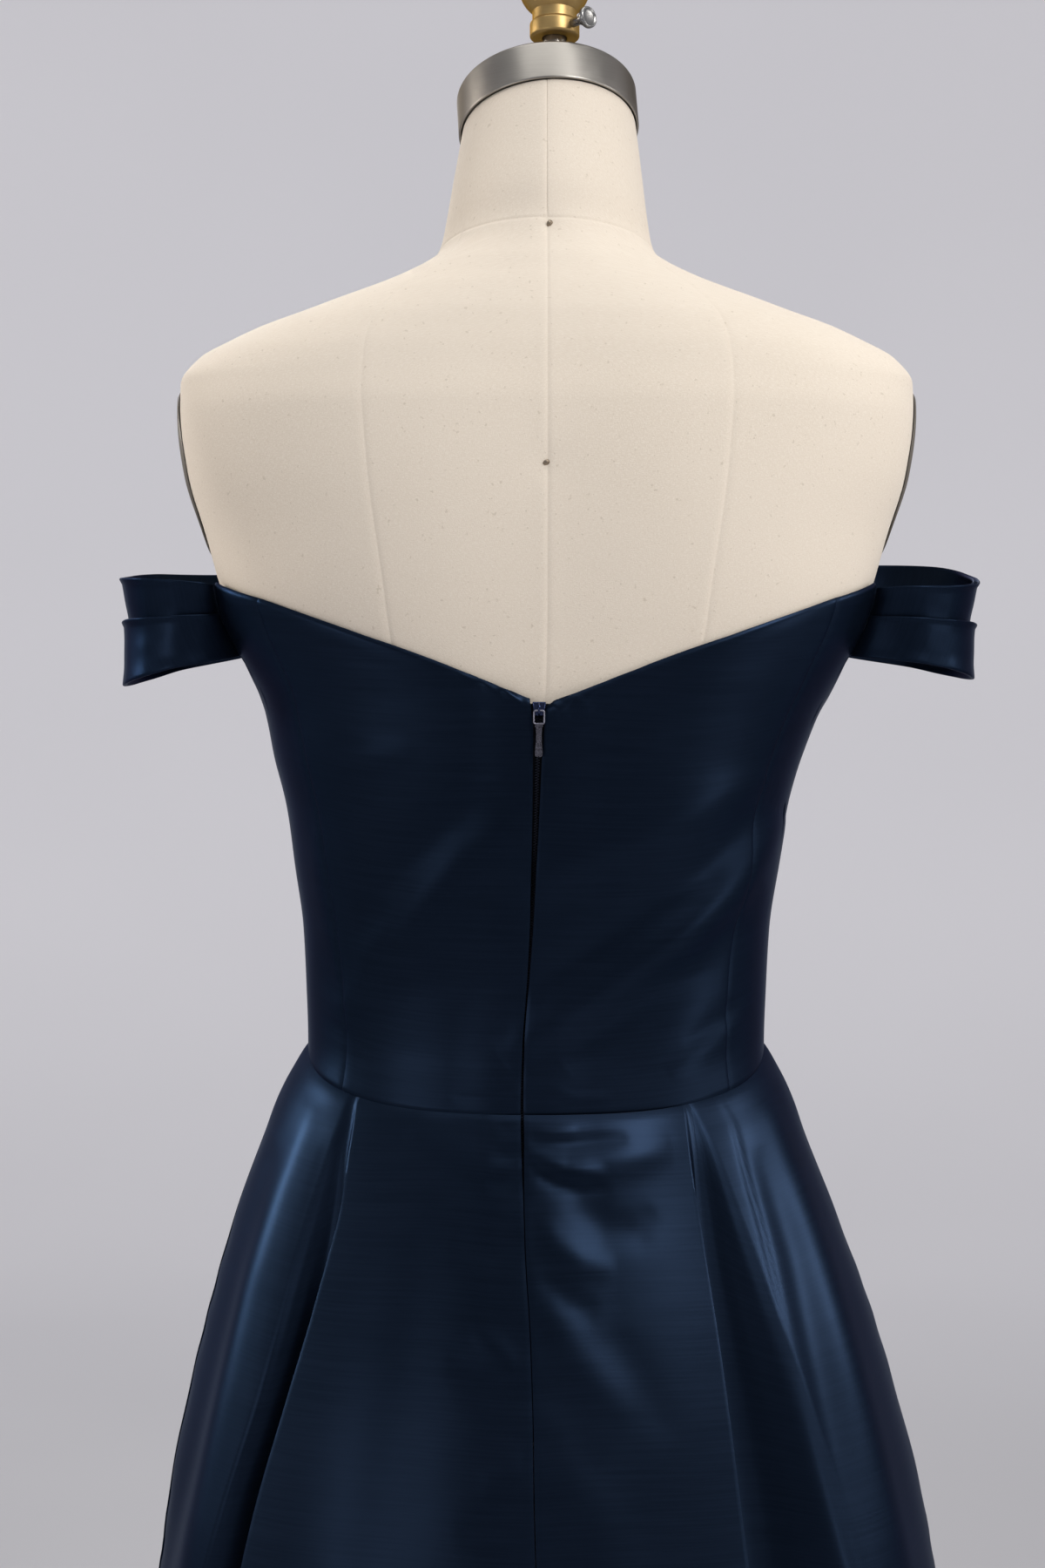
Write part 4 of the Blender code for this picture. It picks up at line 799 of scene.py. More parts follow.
skirt = {
    "spread": (  # share of the way down, spread added at the side, the back and the front
        (0.000, 0.0000, 0.0000, 0.0000),
        (0.020, 0.0122, 0.0090, 0.0080),
        (0.047, 0.0230, 0.0200, 0.0180),
        (0.090, 0.0395, 0.0355, 0.0325),
        (0.134, 0.0543, 0.0495, 0.0450),
        (0.178, 0.0666, 0.0615, 0.0550),
        (0.222, 0.0772, 0.0720, 0.0640),
        (0.266, 0.0850, 0.0805, 0.0710),
        (0.380, 0.1050, 0.1010, 0.0900),
        (0.525, 0.1350, 0.1310, 0.1170),
        (0.720, 0.1750, 0.1730, 0.1550),
        (1.000, 0.2280, 0.2380, 0.2150),
    ),
    "pleatDepth": (  # share of the way down, depth in mm
        (0, 0.5), (0.02, 2.2), (0.045, 6), (0.09, 13), (0.15, 21), (0.23, 29), (0.35, 43), (0.525, 54), (1, 62),
    ),
    "pleats": {  # share of the way down, angle of the crisp edge and of the rolled ridge
        "back_left": (
            (0.00, 55.0, 58.5),
            (0.02, 51.4, 56.8),
            (0.06, 48.6, 57.3),
            (0.10, 49.4, 57.4),
            (0.14, 50.9, 57.8),
            (0.20, 53.5, 60.7),
            (0.27, 55.0, 64.0),
            (1.00, 50.0, 69.0),
        ),
        "back_right": (
            (0.00, 45.0, 48.5),
            (0.02, 42.6, 49.6),
            (0.06, 40.0, 50.8),
            (0.10, 37.8, 52.0),
            (0.14, 36.3, 54.0),
            (0.20, 34.8, 56.4),
            (0.27, 34.0, 58.0),
            (1.00, 30.0, 62.0),
        ),
        "front_left": ((0, 140, 136), (0.03, 142, 133), (0.09, 143, 130), (0.13, 143, 128), (0.23, 143, 126),
                       (1, 146, 121)),
        "front_right": ((0, 141, 137), (0.03, 143, 134), (0.09, 144, 131), (0.13, 144, 129), (0.23, 145, 127),
                        (1, 149, 120)),
    },
    "profile": (  # column, share of the width, of the depth and of the undercut
        (0, 0.00, 0.00, 0.0),
        (1, 0.04, 0.30, 0.7),
        (2, 0.08, 0.68, 1.0),
        (3, 0.19, 0.93, 0.6),
        (4, 0.34, 1.00, 0.1),
        (5, 0.50, 0.93, 0.0),
        (6, 0.62, 0.72, 0.0),
        (7, 0.72, 0.42, 0.0),
        (8, 0.84, 0.14, 0.0),
        (9, 1.00, 0.00, 0.0),
    ),
    "undercut": 0.30,
    "crowding": 1.35,
    "fullAcross": 9 * mm,
    "fullTuck": 20 * mm,
    "waistRidges": ((0, 0.8, -0.5), (5, 4, 0.2)),  # distance, width, rise in mm
    "seamRidges": ((0, 1.1, -0.18),),
    "seamRipples": ((5, 7, 0.22),),
    "rows": 150,
    "cells": {"left": (64, 56, 45), "right": (56, 60, 49)},  # from the zip, over the pleat, to the side
    "frontCells": (43, 44, 71),
    "cut": {"left": ((0.75, 1.06), 0.44), "right": ((0.76, 1.06), 0.45)},  # flat size, area
    "folds": (  # angle at the waist and the hem, reach in degrees, depth at the hem, start
        (24, 22, 13, 10, 0.22),
        (-6, -10, 10, 9, 0.20),
        (76, 80, 9, 20, 0.06),
        (96, 100, 8, 17, 0.20),
        (112, 110, 8, 15, 0.16),
        (160, 163, 10, 12, 0.20),
        (182, 184, 8, 10, 0.30),
        (200, 199, 10, 13, 0.20),
        (249, 251, 8, 17, 0.15),
        (266, 263, 8, 18, 0.22),
        (284, 280, 9, 20, 0.06),
    ),
    "creases": (  # on the back: line of (x, z), width, rise, all in mm
        (((4, 1003.5), (-4, 1002.5), (-16, 1004)), 2.2, 0.59),
        (((30, 1003), (-20, 1001), (-74, 1007)), 24, 2.8),
        (((7, 998.5), (-13, 997.5), (-40, 1000)), 3.4, -1.3),
        (((8, 994.5), (-4, 988.5), (-14, 985), (-30, 983)), 4.4, 1.7),
        (((6, 986), (-6, 980), (-18, 976.5), (-32, 977)), 4, -1.2),
        (((-12, 987), (-34, 988.5), (-62, 994)), 8, 1.2),
        (((3, 980), (-13, 973), (-30, 958), (-45, 956), (-54, 966)), 9, -1.3),
        (((2, 963), (-6, 952), (-19, 943), (-34, 939)), 6.5, 1.2),
        (((2, 937), (-12, 926), (-26, 918)), 6, -0.9),
        (((0, 926), (-8, 914), (-17, 901), (-29, 887), (-42, 870)), 9.5, 1.1),
        (((-30, 912), (-46, 890), (-60, 862)), 10, -0.7),
        (((-6, 890), (-16, 868), (-26, 842)), 10, -0.6),
        (((-20, 850), (-34, 810), (-52, 760)), 13, 0.8),
        (((9.5, 1005.5), (15, 1004), (22, 1005)), 2.2, -0.59),
        (((9.5, 994.5), (16, 992), (26, 993)), 2.8, -0.76),
        (((9.5, 984), (16, 980), (28, 979)), 3.5, -0.9),
        (((10, 989), (19, 986), (30, 986)), 2.8, 0.7),
        (((66, 1003), (36, 987), (14, 966)), 13, 1.3),
        (((10, 956), (24, 948), (44, 951)), 8, -0.9),
        (((34, 914), (22, 904), (13, 896)), 5, 1),
        (((46, 902), (28, 888), (14, 880)), 7, -0.9),
        (((11, 857), (18, 850), (30, 842)), 5, 0.9),
        (((11, 838), (24, 826), (40, 820)), 7, -0.8),
        (((60, 960), (66, 900), (78, 820), (90, 740)), 16, -1.6),
        (((-86, 1019), (-95, 1004), (-101, 979), (-108, 954), (-120, 900)), 1.9, -0.8),
        (((-108, 992), (-125, 940), (-135, 893), (-146, 840), (-170, 740)), 9, -3.2),
        (((-112, 1014), (-126, 978), (-141, 930), (-160, 860), (-185, 760)), 8, 2.4),
        (((114, 1013), (131, 965), (145, 920), (159, 859), (172, 797), (190, 700)), 8, 2.6),
        (((106, 995), (118, 950), (130, 900), (146, 830)), 6, -1.6),
        (((136, 990), (155, 934), (165, 895), (180, 828), (200, 740)), 8, -3),
        (((10, 700), (30, 640), (40, 560)), 14, 1.6),
        (((-40, 690), (-60, 620), (-80, 520)), 15, 1.8),
    ),
    "frontCreases": (  # the same, on the front
        (((30, 1018), (34, 996), (44, 960)), 5, 1.2),
        (((-24, 1018), (-30, 992), (-40, 950)), 5, 1.2),
        (((6, 1016), (10, 980), (12, 930)), 7, -1.2),
        (((60, 1012), (72, 970), (86, 900)), 8, -1.6),
        (((-56, 1012), (-70, 960), (-82, 890)), 8, -1.6),
        (((110, 1010), (132, 940), (156, 850)), 7, 2.6),
        (((-112, 1010), (-134, 945), (-160, 850)), 7, 2.6),
        (((130, 990), (152, 910), (184, 790)), 9, -2.6),
        (((-128, 990), (-150, 915), (-180, 800)), 9, -2.6),
        (((30, 860), (50, 780), (60, 690)), 13, 1.8),
        (((-20, 840), (-34, 750), (-50, 650)), 13, 1.6),
    ),
}
spreadOf = [Curve(skirt["spread"], k) for k in (1, 2, 3)]
pleatDepthOf = Curve(skirt["pleatDepth"])
pleatCurves = {name: (Curve(rows, 1), Curve(rows, 2)) for name, rows in skirt["pleats"].items()}
profileOf = [Curve(skirt["profile"], k) for k in (1, 2, 3)]


def skirtRadius(angle, share):
    facing = np.cos(np.radians(angle))
    face = np.where(facing > 0, spreadOf[1](share), spreadOf[2](share))
    return bodiceRadius(angle, waistHeight(angle)) + blend(spreadOf[0](share), face, facing * facing)


def foldDepth(angle, share):
    depth = np.zeros(np.broadcast(angle, share).shape)
    for atWaist, atHem, reach, hemDepth, start in skirt["folds"]:
        growth = np.clip((share - start) / (1 - start), 0, 1) ** 1.1
        depth = depth + hemDepth * mm * growth * softBump(turnBetween(angle, blend(atWaist, atHem, share)), 2 * reach)
    return depth


def crispEdge(name, side, turn=0):
    return lambda share: turn + side * pleatCurves[name][0](share)


def rolledRidge(name, side, turn=0):
    return lambda share: turn + side * pleatCurves[name][1](share)


def skirtZipAngle(side):
    def edge(share):
        height = blend(waistHeight(0.0), gown["hem"], share)
        return np.degrees((zipLine(height) + side * zipOpening(height)) * mm / skirtRadius(0.0, share))
    return edge


def sideSeam(angle, side):
    return lambda share: angle + side * np.degrees(0.75 * gown["seamGap"] / skirtRadius(90.0, share))


def plainColumns(start, end, steps, share):
    part = start(share)[None, :] + (end(share) - start(share))[None, :] * steps[:, None]
    return part, np.zeros_like(part)


def pleatColumns(name, side, cells, share, turn=0):
    # from the crisp edge to the ridge, with close columns at the crisp edge
    last = skirt["profile"][-1][0]
    k = last * np.linspace(0, 1, cells + 1) ** skirt["crowding"]
    crisp, deep, under = (curve(k)[:, None] for curve in profileOf)
    edge, ridge = crispEdge(name, side, turn)(share)[None, :], rolledRidge(name, side, turn)(share)[None, :]
    depth = (pleatDepthOf(share) * mm)[None, :]
    across = blend((k / last)[:, None], crisp, np.minimum(1.0, depth / skirt["fullAcross"]))
    tuck = skirt["undercut"] * under * np.minimum(1.0, depth / skirt["fullTuck"]) ** 2
    return edge + (across - tuck) * (ridge - edge), deep * depth


def skirtShares(rows):
    s = np.linspace(0, 1, rows + 1)
    return blend(s**2.1, s, 0.32)


def skirtSheet(name, parts, share, seen, flat, area, replaced):
    angle = np.concatenate([parts[0][0]] + [part[0][1:] for part in parts[1:]])
    depth = np.concatenate([parts[0][1]] + [part[1][1:] for part in parts[1:]])
    share = np.broadcast_to(share, angle.shape)
    low = waistHeight(angle) - gown["seamGap"] / 2
    height = blend(low, gown["hem"], share)
    fall = low - height
    radius = skirtRadius(angle, share) - foldDepth(angle, share) - depth + ridges(fall, skirt["waistRidges"])
    points = around(angle, radius, height)
    for edge in (points[:1], points[-1:]):
        away = np.linalg.norm(points - edge, axis=-1)
        ripple = ridges(away, skirt["seamRipples"]) * np.sin(fall * 190 + 2 * np.sin(fall * 47))
        rise = ripple + ridges(away, skirt["seamRidges"])
        turn = np.radians(angle)
        points = points + np.stack([rise * np.sin(turn), rise * np.cos(turn), np.zeros_like(turn)], axis=-1)
    points = creased(points, skirt["creases"] if seen > 0 else skirt["frontCreases"], seen)
    piece = finish(name, gridOf(points[:, ::-1]), satin, replaced=replaced)
    solid(piece, gown["cloth"])


def makeSkirt():
    share = skirtShares(skirt["rows"])

    def evenly(cells):
        return np.linspace(0, 1, cells + 1)

    def flipped(part):
        return part[0][::-1], part[1][::-1]

    for sideName, side in sides:
        name = f"back_{sideName}"
        zipCells, pleatCells, sideCells = skirt["cells"][sideName]
        parts = [
            plainColumns(skirtZipAngle(side), crispEdge(name, side), panelShares(zipCells), share),
            pleatColumns(name, side, pleatCells, share),
            plainColumns(rolledRidge(name, side), sideSeam(90 * side, -side), evenly(sideCells), share),
        ]
        if side < 0:
            parts = [flipped(part) for part in reversed(parts)]
        skirtSheet(f"satin_skirt_{name}", parts, share, 1, *skirt["cut"][sideName], f"skirt_{name}")

    sideCells, pleatCells, middleCells = skirt["frontCells"]
    skirtSheet("satin_skirt_front", [
        plainColumns(sideSeam(90, 1), rolledRidge("front_left", 1), evenly(sideCells), share),
        flipped(pleatColumns("front_left", 1, pleatCells, share)),
        plainColumns(crispEdge("front_left", 1), crispEdge("front_right", -1, 360), evenly(middleCells), share),
        pleatColumns("front_right", -1, pleatCells, share, 360),
        plainColumns(rolledRidge("front_right", -1, 360), sideSeam(270, -1), evenly(sideCells), share),
    ], share, -1, (1.40, 1.05), 0.87, "skirt_front")


makeSkirt()
print("skirt made")


# Straps: two folded bands on each side

strap = {
    "route": (  # share of the way, distance out from the centre plane, y
        (0.00, 0.1695, 0.0460),
        (0.12, 0.1820, 0.0475),
        (0.28, 0.2020, 0.0400),
        (0.42, 0.2155, 0.0210),
        (0.52, 0.2190, 0.0010),
        (0.62, 0.2155, -0.0190),
        (0.75, 0.2030, -0.0390),
        (0.90, 0.1820, -0.0510),
        (1.00, 0.1685, -0.0530),
    ),
    "bands": {  # share of the way, top edge, bottom edge
        ("left", "upper"): (
            (0, 1.2735, 1.2470), (0.25, 1.2765, 1.2450), (0.5, 1.2795, 1.2440), (0.75, 1.2845, 1.2460),
            (1, 1.2850, 1.2500),
        ),
        ("left", "lower"): (
            (0, 1.2590, 1.2378), (0.25, 1.2575, 1.2285), (0.5, 1.2570, 1.2235), (1, 1.2640, 1.2420),
        ),
        ("right", "upper"): (
            (0, 1.2720, 1.2470), (0.25, 1.2730, 1.2450), (0.42, 1.2755, 1.2450), (0.55, 1.2805, 1.2460),
            (0.75, 1.2885, 1.2480), (0.9, 1.2900, 1.2500), (1, 1.2900, 1.2500),
        ),
        ("right", "lower"): (
            (0, 1.2580, 1.2378), (0.25, 1.2565, 1.2320), (0.5, 1.2555, 1.2270), (1, 1.2640, 1.2420),
        ),
    },
    "reach": {"left": -0.0018, "right": 0.0019},
    # outwards in mm at four levels, from the bottom edge to the top
    "offsets": {"upper": (-3.4, -3.0, -0.8, 1.6), "lower": (0.3, -0.8, -0.7, 0.2)},
    "endOffsets": {"upper": (-3.0, -3.0, -2.8, -0.2), "lower": (0.0, 0.0, 0.0, 0.0)},
    # where the bands meet the bodice: high and low point, each an angle and a height
    "corners": {"back": ((75.0, 1.2745), (76.6, 1.2370)), "front": ((108.0, 1.2830), (106.4, 1.2400))},
    "cells": 96,
    "swell": 0.5 * mm,
    "parted": (0.9, 0.90, 0.06, 0.36, 0.34),  # extra thickness, from which height, over, where along it, reach
    "outside": 1.2 * mm,
    "behind": 1.25 * mm,
    "turn": 0.2,
    "thickness": 1.9 * mm,
    "outerRows": (0.06, 0.12, 0.20, 0.28, 0.36, 0.44, 0.52, 0.60, 0.68, 0.76),
    "innerRows": (0.12, 0.30, 0.50, 0.70),
    "foot": ((0.004, 0.60), (0.020, 0.95)),  # share of the height, share of the half thickness
    "rolls": (
        (0.840, 1.02), (0.900, 1.08), (0.945, 1.20), (0.972, 1.28), (0.990, 1.12), (1.000, 0.85), (0.988, 0.55),
        (0.950, 0.30),
    ),
    "notch": 0.930,
    "creases": (  # line of (x, z), width, rise, all in mm
        (((-163, 1240), (-176, 1250), (-184, 1258)), 4, -0.9),
        (((-172, 1236), (-186, 1246), (-200, 1252)), 5, 0.5),
        (((172, 1252), (190, 1246), (206, 1240)), 5, 0.5),
        (((166, 1246), (180, 1240), (196, 1233)), 4, -0.5),
        (((-176, 1268), (-192, 1264), (-206, 1259)), 4, -0.6),
        (((176, 1268), (190, 1262), (200, 1258)), 4.5, -0.6),
        (((-166, 1262), (-171, 1267), (-178, 1270)), 1.6, 0.7),
        (((-166, 1268), (-173, 1271), (-182, 1272)), 1.3, 0.6),
        (((-165, 1256), (-172, 1259), (-184, 1261)), 2.2, -0.7),
        (((166, 1262), (173, 1266), (182, 1267)), 1.8, 0.6),
        (((166, 1256), (174, 1259), (186, 1259)), 2.2, -0.6),
        (((168, 1236), (184, 1232), (204, 1236)), 4, 0.5),
    ),
}


def bandSection():
    # once round a band: the same foot and rolled edge on its outer and its inner face
    def face(rows):
        return [*strap["foot"], *((row, 1.0) for row in rows), *strap["rolls"]]

    inner = [(up, -out) for up, out in reversed(face(strap["innerRows"]))]
    return np.array([(0, 0), *face(strap["outerRows"]), (strap["notch"], 0), *inner, (0, 0)])


def routeCentre(sideName, share):
    out = Curve(strap["route"])(share) + strap["reach"][sideName] * np.sin(np.pi * share) ** 2
    return np.stack([out, Curve(strap["route"], 2)(share)], axis=-1)


def cornerPoint(side, end, height):
    (highAngle, high), (lowAngle, low) = strap["corners"][end]
    angle = side * blend(lowAngle, highAngle, (height - low) / (high - low))
    return around(angle, bodiceRadius(angle, height), height)


def makeStrap(sideName, side, tier):
    share = np.linspace(0, 1, strap["cells"] + 1)[None, :]
    section = bandSection()
    up = section[:, 0][:, None]
    heights = strap["bands"][(sideName, tier)]
    top, bottom = Curve(heights, 1)(share), Curve(heights, 2)(share)
    height = blend(bottom, top, up)
    rows = [(k / 3, value) for k, value in enumerate(strap["offsets"][tier])]
    endRows = [(k / 3, value) for k, value in enumerate(strap["endOffsets"][tier])]
    ahead = routeCentre(sideName, np.minimum(1, share + 0.02)) - routeCentre(sideName, np.maximum(0, share - 0.02))
    outward = np.stack([ahead[..., 1], -ahead[..., 0]], axis=-1)
    outward = outward / np.linalg.norm(outward, axis=-1, keepdims=True)
    centre = routeCentre(sideName, share)
    facing = np.sign(np.sum(outward * centre, axis=-1, keepdims=True))
    outward = outward * facing
    swell = strap["swell"] * np.sin(np.pi * up) * np.sin(np.pi * share)
    sway = Curve(rows)(up) * mm + swell
    route = centre + outward * sway[..., None]
    x = side * route[..., 0] + leanOf(height) * mm
    place = np.stack([x, route[..., 1], height], axis=-1)
    atBack = np.clip(1 - share / strap["turn"], 0, None) ** 2
    atFront = np.clip(1 - (1 - share) / strap["turn"], 0, None) ** 2
    place = place * (1 - atBack - atFront)[..., None]
    for end, weight, inwards in (("back", atBack, -1), ("front", atFront, 1)):
        backOff = strap["behind"] - Curve(endRows)(up) * mm
        corner = cornerPoint(side, end, height)
        corner = corner + np.stack(np.broadcast_arrays(side * strap["outside"], inwards * backOff, 0.0), axis=-1)
        place = place + corner * weight[..., None]
    extra, high, over, middle, reach = strap["parted"]
    parted = 1 + extra * np.clip((up - high) / over, 0, 1) * softBump(share - middle, reach)
    wall = section[:, 1][:, None] * strap["thickness"] / 2 * parted
    place = place + np.stack([side * outward[..., 0] * wall, outward[..., 1] * wall, np.zeros_like(height)], axis=-1)
    place = creased(place, strap["creases"])
    mesh = gridOf(place, wrap=True)
    closeEnds(mesh)
    name = f"strap_{sideName}_{tier}"
    piece = finish(f"satin_{name}", mesh, satin, replaced=name)


for sideName, side in sides:
    for tier in ("upper", "lower"):
        makeStrap(sideName, side, tier)
print("straps made")


# Zip

zipParts = {
    "tapeBottom": 0.862,
    "tapeTop": 1.2117,
    "tapeUnder": 2.0 * mm,
    "tape": 0.7 * mm,
    "slider": 1.2092,
    "body": (6.8 * mm, 2.2 * mm, 6.8 * mm),
    "narrow": 0.72,
    "bridgeReach": 2.5 * mm,
    "bridgeBar": 1.1 * mm,
    "bridgeRise": 2.3 * mm,
    "wire": 0.9 * mm,
    "bail": (2.5 * mm, 0.45 * mm, -5.9 * mm, 1.0 * mm),  # half width, top, bottom, corner radius
    "blade": (  # height, half width in mm
        (-6.0, 1.9), (-6.5, 2.2), (-7.1, 1.7), (-8.2, 1.25), (-11.0, 1.3), (-14.0, 1.45), (-17.0, 1.65),
        (-19.0, 1.85), (-20.2, 2.0), (-20.9, 1.8), (-21.3, 1.1),
    ),
    "bladeThick": 0.8 * mm,
    "notchBelow": -20.5,
    "hingePlay": 0.35 * mm,
    "hingeRise": 1.1 * mm,
    "sliderLift": 0.35 * mm,
    "coilInset": 3 * mm,
    "coilAside": 0.55 * mm,
    "coilUnder": 1.15 * mm,
    "pitch": 1.3 * mm,
    "tooth": (1.5 * mm, 0.9 * mm, 0.75 * mm),
    "toothTilt": 8,
}


def centreBack(height, offset, drop):
    # on the zip line, offset sideways, and drop inwards from the middle of the panels
    height = np.asarray(height, float)
    across = zipLine(height) * mm + offset
    seam = waistHeight(0.0)
    share = np.clip((seam - height) / (seam - gown["hem"]), 0, 1)

    def out(angle):
        lower = skirtRadius(angle, share) - foldDepth(angle, share)
        return np.where(height >= seam, bodiceRadius(angle, height), lower)

    angle = np.degrees(across / out(0.0 * across))
    return around(angle, out(angle) - drop, height)


def makeTape():
    heights = np.linspace(zipParts["tapeBottom"], zipParts["tapeTop"], 141)[None, :]
    offsets = np.linspace(1, -1, 17)[:, None] * gown["tapeHalfWidth"]
    points = centreBack(*np.broadcast_arrays(heights, offsets), zipParts["tapeUnder"])
    piece = finish("woven_zip_tape", gridOf(points[::-1]), tapeWeave, replaced="zip_tape")
    solid(piece, zipParts["tape"])


def makeCoil():
    mesh = bmesh.new()
    low, pitch = zipParts["tapeBottom"] + zipParts["coilInset"], zipParts["pitch"]
    count = int((zipParts["slider"] - zipParts["coilInset"] - low) / pitch)
    for k in range(count):
        for side in (1, -1):
            height = low + (k + 0.25 * side) * pitch
            middle = Vector(centreBack(height, side * zipParts["coilAside"], zipParts["coilUnder"]))
            size = Matrix.Diagonal((*zipParts["tooth"], 1))
            tilt = Matrix.Rotation(math.radians(zipParts["toothTilt"] * side), 4, "Y")
            bmesh.ops.create_cube(mesh, size=1.0, matrix=Matrix.Translation(middle) @ tilt @ size)
    soften(mesh, mesh.edges[:], 0.22 * mm, 1)
    finish("zip_coil", mesh, enamel["navy zip coil"], sharp=80)


def zipFrame():
    seat = Vector(centreBack(zipParts["slider"], 0.0, 0.0))
    below = Vector(centreBack(zipParts["slider"] - 0.01, 0.0, 0.0))
    lean = math.atan2(seat.y - below.y, seat.z - below.z)
    slant = math.atan2(seat.x - below.x, seat.z - below.z)
    facing = Matrix.Rotation(-lean, 4, "X") @ Matrix.Rotation(slant, 4, "Y")
    return Matrix.Translation(seat + Vector((0, zipParts["sliderLift"], 0))) @ facing


def boxAt(middle, size):
    mesh = bmesh.new()
    bmesh.ops.create_cube(mesh, size=1.0, matrix=Matrix.Translation(middle) @ Matrix.Diagonal((*size, 1)))
    return mesh


def wire(name, points, thickness, cuts, closed=False):
    # a round wire through the points, as a mesh
    line = bpy.data.curves.new(name, "CURVE")
    line.dimensions = "3D"
    line.bevel_depth = thickness / 2
    line.bevel_resolution = cuts
    line.use_fill_caps = not closed
    spline = line.splines.new("POLY")
    spline.points.add(len(points) - 1)
    for made, point in zip(spline.points, points):
        made.co = (*point, 1.0)
    spline.use_cyclic_u = closed
    holder = bpy.data.objects.new(name, line)
    bpy.context.scene.collection.objects.link(holder)
    data = bpy.data.meshes.new_from_object(holder.evaluated_get(bpy.context.evaluated_depsgraph_get()))
    mesh = bmesh.new()
    mesh.from_mesh(data)
    bpy.data.objects.remove(holder)
    bpy.data.meshes.remove(data)
    bmesh.ops.remove_doubles(mesh, verts=mesh.verts, dist=0.001 * mm)
    return mesh


def loopPath(halfWidth, top, bottom, radius):
    # a rounded rectangle in the XZ plane
    cuts = 6
    centres = ((halfWidth - radius, top - radius, 90, 0), (halfWidth - radius, bottom + radius, 0, -90),
               (radius - halfWidth, bottom + radius, -90, -180), (radius - halfWidth, top - radius, 180, 90))
    points = []
    for x, z, start, end in centres:
        for k in range(cuts + 1):
            turn = math.radians(blend(start, end, k / cuts))
            points.append((x + radius * math.cos(turn), 0.0, z + radius * math.sin(turn)))
    return points


def makeSlider():
    width, depth, height = zipParts["body"]
    mesh = boxAt((0, 0.1 * mm, 0), (width, 0.75 * depth, height))
    for vertex in mesh.verts:
        if vertex.co.z < 0:
            vertex.co.x *= zipParts["narrow"]
    soften(mesh, mesh.edges[:], 0.75 * mm, 4)
    low = boxAt((0, -0.42 * depth, 0), (0.86 * width, 0.3 * depth, 0.92 * height))
    soften(low, low.edges[:], 0.25 * mm, 2)
    joined(mesh, low)
    reach, bar, rise = zipParts["bridgeReach"], zipParts["bridgeBar"], zipParts["bridgeRise"]
    face = depth / 2 - 0.4 * mm
    arch = []
    for k in range(13):
        turn = math.pi * k / 12
        arch.append((0.0, face + rise * math.sin(turn) ** 0.8, reach * math.cos(turn)))
    joined(mesh, wire("bridge", arch, bar, 4))
    finish("zip_slider_body", mesh, enamel["navy zip enamel"], replaced="zip_slider", sharp=40,
           place=zipFrame())


def makePull():
    drop = zipParts["bridgeReach"] - zipParts["bridgeBar"] / 2 - zipParts["wire"] / 2 - zipParts["hingePlay"]
    hinge = zipFrame() @ Matrix.Translation((0, zipParts["body"][1] / 2 + zipParts["hingeRise"], -drop))
    mesh = wire("bail", loopPath(*zipParts["bail"]), zipParts["wire"], 6, closed=True)
    rows = zipParts["blade"]
    blade = bmesh.new()
    bmesh.ops.create_grid(blade, x_segments=8, y_segments=len(rows) - 1, size=1.0)
    for vertex in blade.verts:
        height, halfWidth = rows[len(rows) - 1 - round((vertex.co.y + 1) / 2 * (len(rows) - 1))]
        across = vertex.co.x
        notch = 0.35 * mm * (1 - min(1.0, abs(across) * 2.2)) if height < zipParts["notchBelow"] else 0.0
        vertex.co = (across * halfWidth * mm, 0.0, height * mm + notch)
    bmesh.ops.solidify(blade, geom=blade.faces[:], thickness=zipParts["bladeThick"])
    bmesh.ops.translate(blade, vec=(0, zipParts["bladeThick"] / 2, 0), verts=blade.verts)
    bmesh.ops.recalc_face_normals(blade, faces=blade.faces)
    rim = [edge for edge in blade.edges if edge.is_manifold and edge.calc_face_angle(0) > math.radians(50)]
    soften(blade, rim, 0.25 * mm, 3)
    joined(mesh, blade)
    finish("zip_pull", mesh, enamel["gunmetal zip pull"], body="zip_pull", replaced="zip_pull_tab",
           sharp=40, place=hinge)


makeTape()
makeCoil()
makeSlider()
makePull()
print("zip made")


# Neck cap, finial and thumb screw

neck = {
    "tilt": 22,
    "roll": 3.7,
    "top": (-0.0041, -0.035, 1.5178),
    "capRadius": 47.8 * mm,
    "capDepthShare": 1.056,
    "capWall": 1.2 * mm,
    "capHeight": 23.0 * mm,
    "overlap": 18.5 * mm,
    "studFoot": (-5.0 * mm, 33.0 * mm),
    "studTilt": 8,
    "studRadius": 6.0 * mm,
    "studHeight": 26.0 * mm,
    "collarRadius": 13.0 * mm,
    "collarLift": 11.0 * mm,
    "collarHeight": 14.5 * mm,
    "collarBand": 9.0 * mm,
    "ballRadius": 19.0 * mm,
    "screwRadius": 2.3 * mm,
    "screwLevel": 5.0 * mm,
    "screwHead": 5.8 * mm,
    "screwHeading": 135,
    "knurl": 0.018,
    "knurls": 24,
}


def neckFrame(lift=0.0):
    lean = Matrix.Rotation(math.radians(neck["roll"]), 4, "Y") @ Matrix.Rotation(math.radians(neck["tilt"]), 4, "X")
    return Matrix.Translation(neck["top"]) @ lean @ Matrix.Translation((0, 0, lift))


def studFrame(lift=0.0):
    foot = neckFrame(neck["capHeight"]) @ Vector((*neck["studFoot"], 0))
    tilt = Matrix.Rotation(math.radians(neck["studTilt"]), 4, "X")
    return Matrix.Translation(foot) @ tilt @ Matrix.Translation((0, 0, lift))


def screwFrame():
    heading = Matrix.Rotation(math.radians(neck["screwHeading"]), 4, "Z") @ Matrix.Rotation(math.radians(90), 4, "Y")
    return studFrame(neck["collarLift"] + neck["screwLevel"]) @ heading


